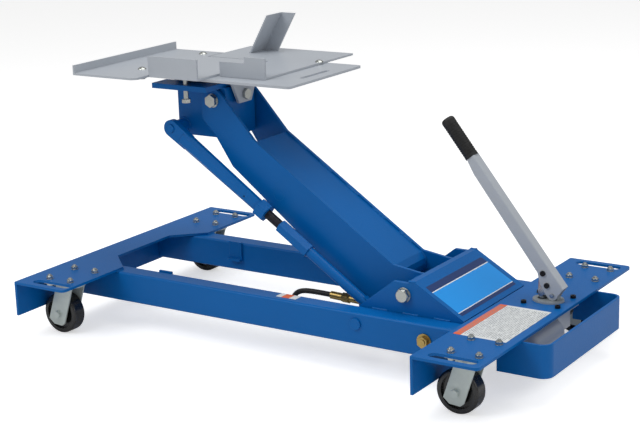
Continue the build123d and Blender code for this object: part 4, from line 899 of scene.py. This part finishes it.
class JACK_OT_stage(bpy.types.Operator):
    """Set the pale floor, the soft lights and the camera"""
    bl_idname = "jack.stage"
    bl_label = "Stage"

    def execute(self, context):
        material, tree, shader = new_material("matte_white_floor")
        shader.inputs["Base Color"].default_value = (0.88, 0.88, 0.88, 1.0)
        shader.inputs["Roughness"].default_value = 0.8
        shader.inputs["Emission Color"].default_value = (1.0, 1.0, 1.0, 1.0)
        direct = add_node(tree, "ShaderNodeLightPath").outputs["Is Camera Ray"]
        lit = add_node(tree, "ShaderNodeMapRange", values={"To Min": 0.0, "To Max": 0.55},
                       links={"Value": direct})
        tree.links.new(lit.outputs["Result"], shader.inputs["Emission Strength"])
        bm = bmesh.new()
        bmesh.ops.create_grid(bm, x_segments=1, y_segments=1, size=FLOOR_HALF)
        floor = mesh_object("studio_floor", bm, material, smooth=False)
        world = bpy.data.worlds.new("studio")
        world.use_nodes = True
        sky = world.node_tree
        back = sky.nodes["Background"]
        back.inputs["Color"].default_value = (1.0, 1.0, 1.0, 1.0)
        seen = add_node(sky, "ShaderNodeLightPath").outputs["Is Camera Ray"]
        level = add_node(sky, "ShaderNodeMapRange", values={"To Min": 0.36, "To Max": 1.0},
                         links={"Value": seen})
        sky.links.new(level.outputs["Result"], back.inputs["Strength"])
        context.scene.world = world
        for name, place, aim, size, power in LIGHTS:
            data = bpy.data.lights.new(name, "AREA")
            data.shape = "SQUARE"
            data.size = size
            data.energy = power
            lamp = linked(name, data)
            lamp.location = place
            lamp.rotation_euler = (Vector(aim) - Vector(place)).to_track_quat("-Z", "Y").to_euler()
        data = bpy.data.cameras.new("camera")
        data.sensor_width = 36.0
        data.lens = CAMERA_LENS
        data.shift_x = CAMERA_SHIFT_X
        data.shift_y = CAMERA_SHIFT_Y
        camera = linked("camera", data)
        place = Matrix.Translation(CAMERA_PLACE)
        for angle, axis in ((CAMERA_HEADING, "Z"), (CAMERA_PITCH, "X"), (CAMERA_ROLL, "Z")):
            place = place @ Matrix.Rotation(math.radians(angle), 4, axis)
        camera.matrix_world = place
        context.scene.camera = camera
        context.scene.view_settings.view_transform = "Standard"
        return {"FINISHED"}


class JACK_PT_panel(bpy.types.Panel):
    """Steps that finish the jack, in order"""
    bl_idname = "JACK_PT_panel"
    bl_label = "Transmission jack"
    bl_space_type = "VIEW_3D"
    bl_region_type = "UI"
    bl_category = "Jack"

    def draw(self, context):
        for step in STEPS:
            self.layout.operator(step.bl_idname)
        for group in (context.scene.jack_finish, context.scene.jack_detail):
            column = self.layout.column()
            for key in group.__annotations__:
                column.prop(group, key)


STEPS = (JACK_OT_finishes, JACK_OT_welds, JACK_OT_link_thread, JACK_OT_fasteners,
         JACK_OT_caster_races, JACK_OT_hose, JACK_OT_labels, JACK_OT_stage)
CLASSES = (JackFinish, JackDetail) + STEPS + (JACK_PT_panel,)


def register():
    for cls in CLASSES:
        bpy.utils.register_class(cls)
    bpy.types.Scene.jack_finish = PointerProperty(type=JackFinish)
    bpy.types.Scene.jack_detail = PointerProperty(type=JackDetail)


def unregister():
    del bpy.types.Scene.jack_detail
    del bpy.types.Scene.jack_finish
    for cls in reversed(CLASSES):
        bpy.utils.unregister_class(cls)


def main():
    register()
    for step in STEPS:
        group, name = step.bl_idname.split(".")
        getattr(getattr(bpy.ops, group), name)()


if __name__ == "__main__":
    main()
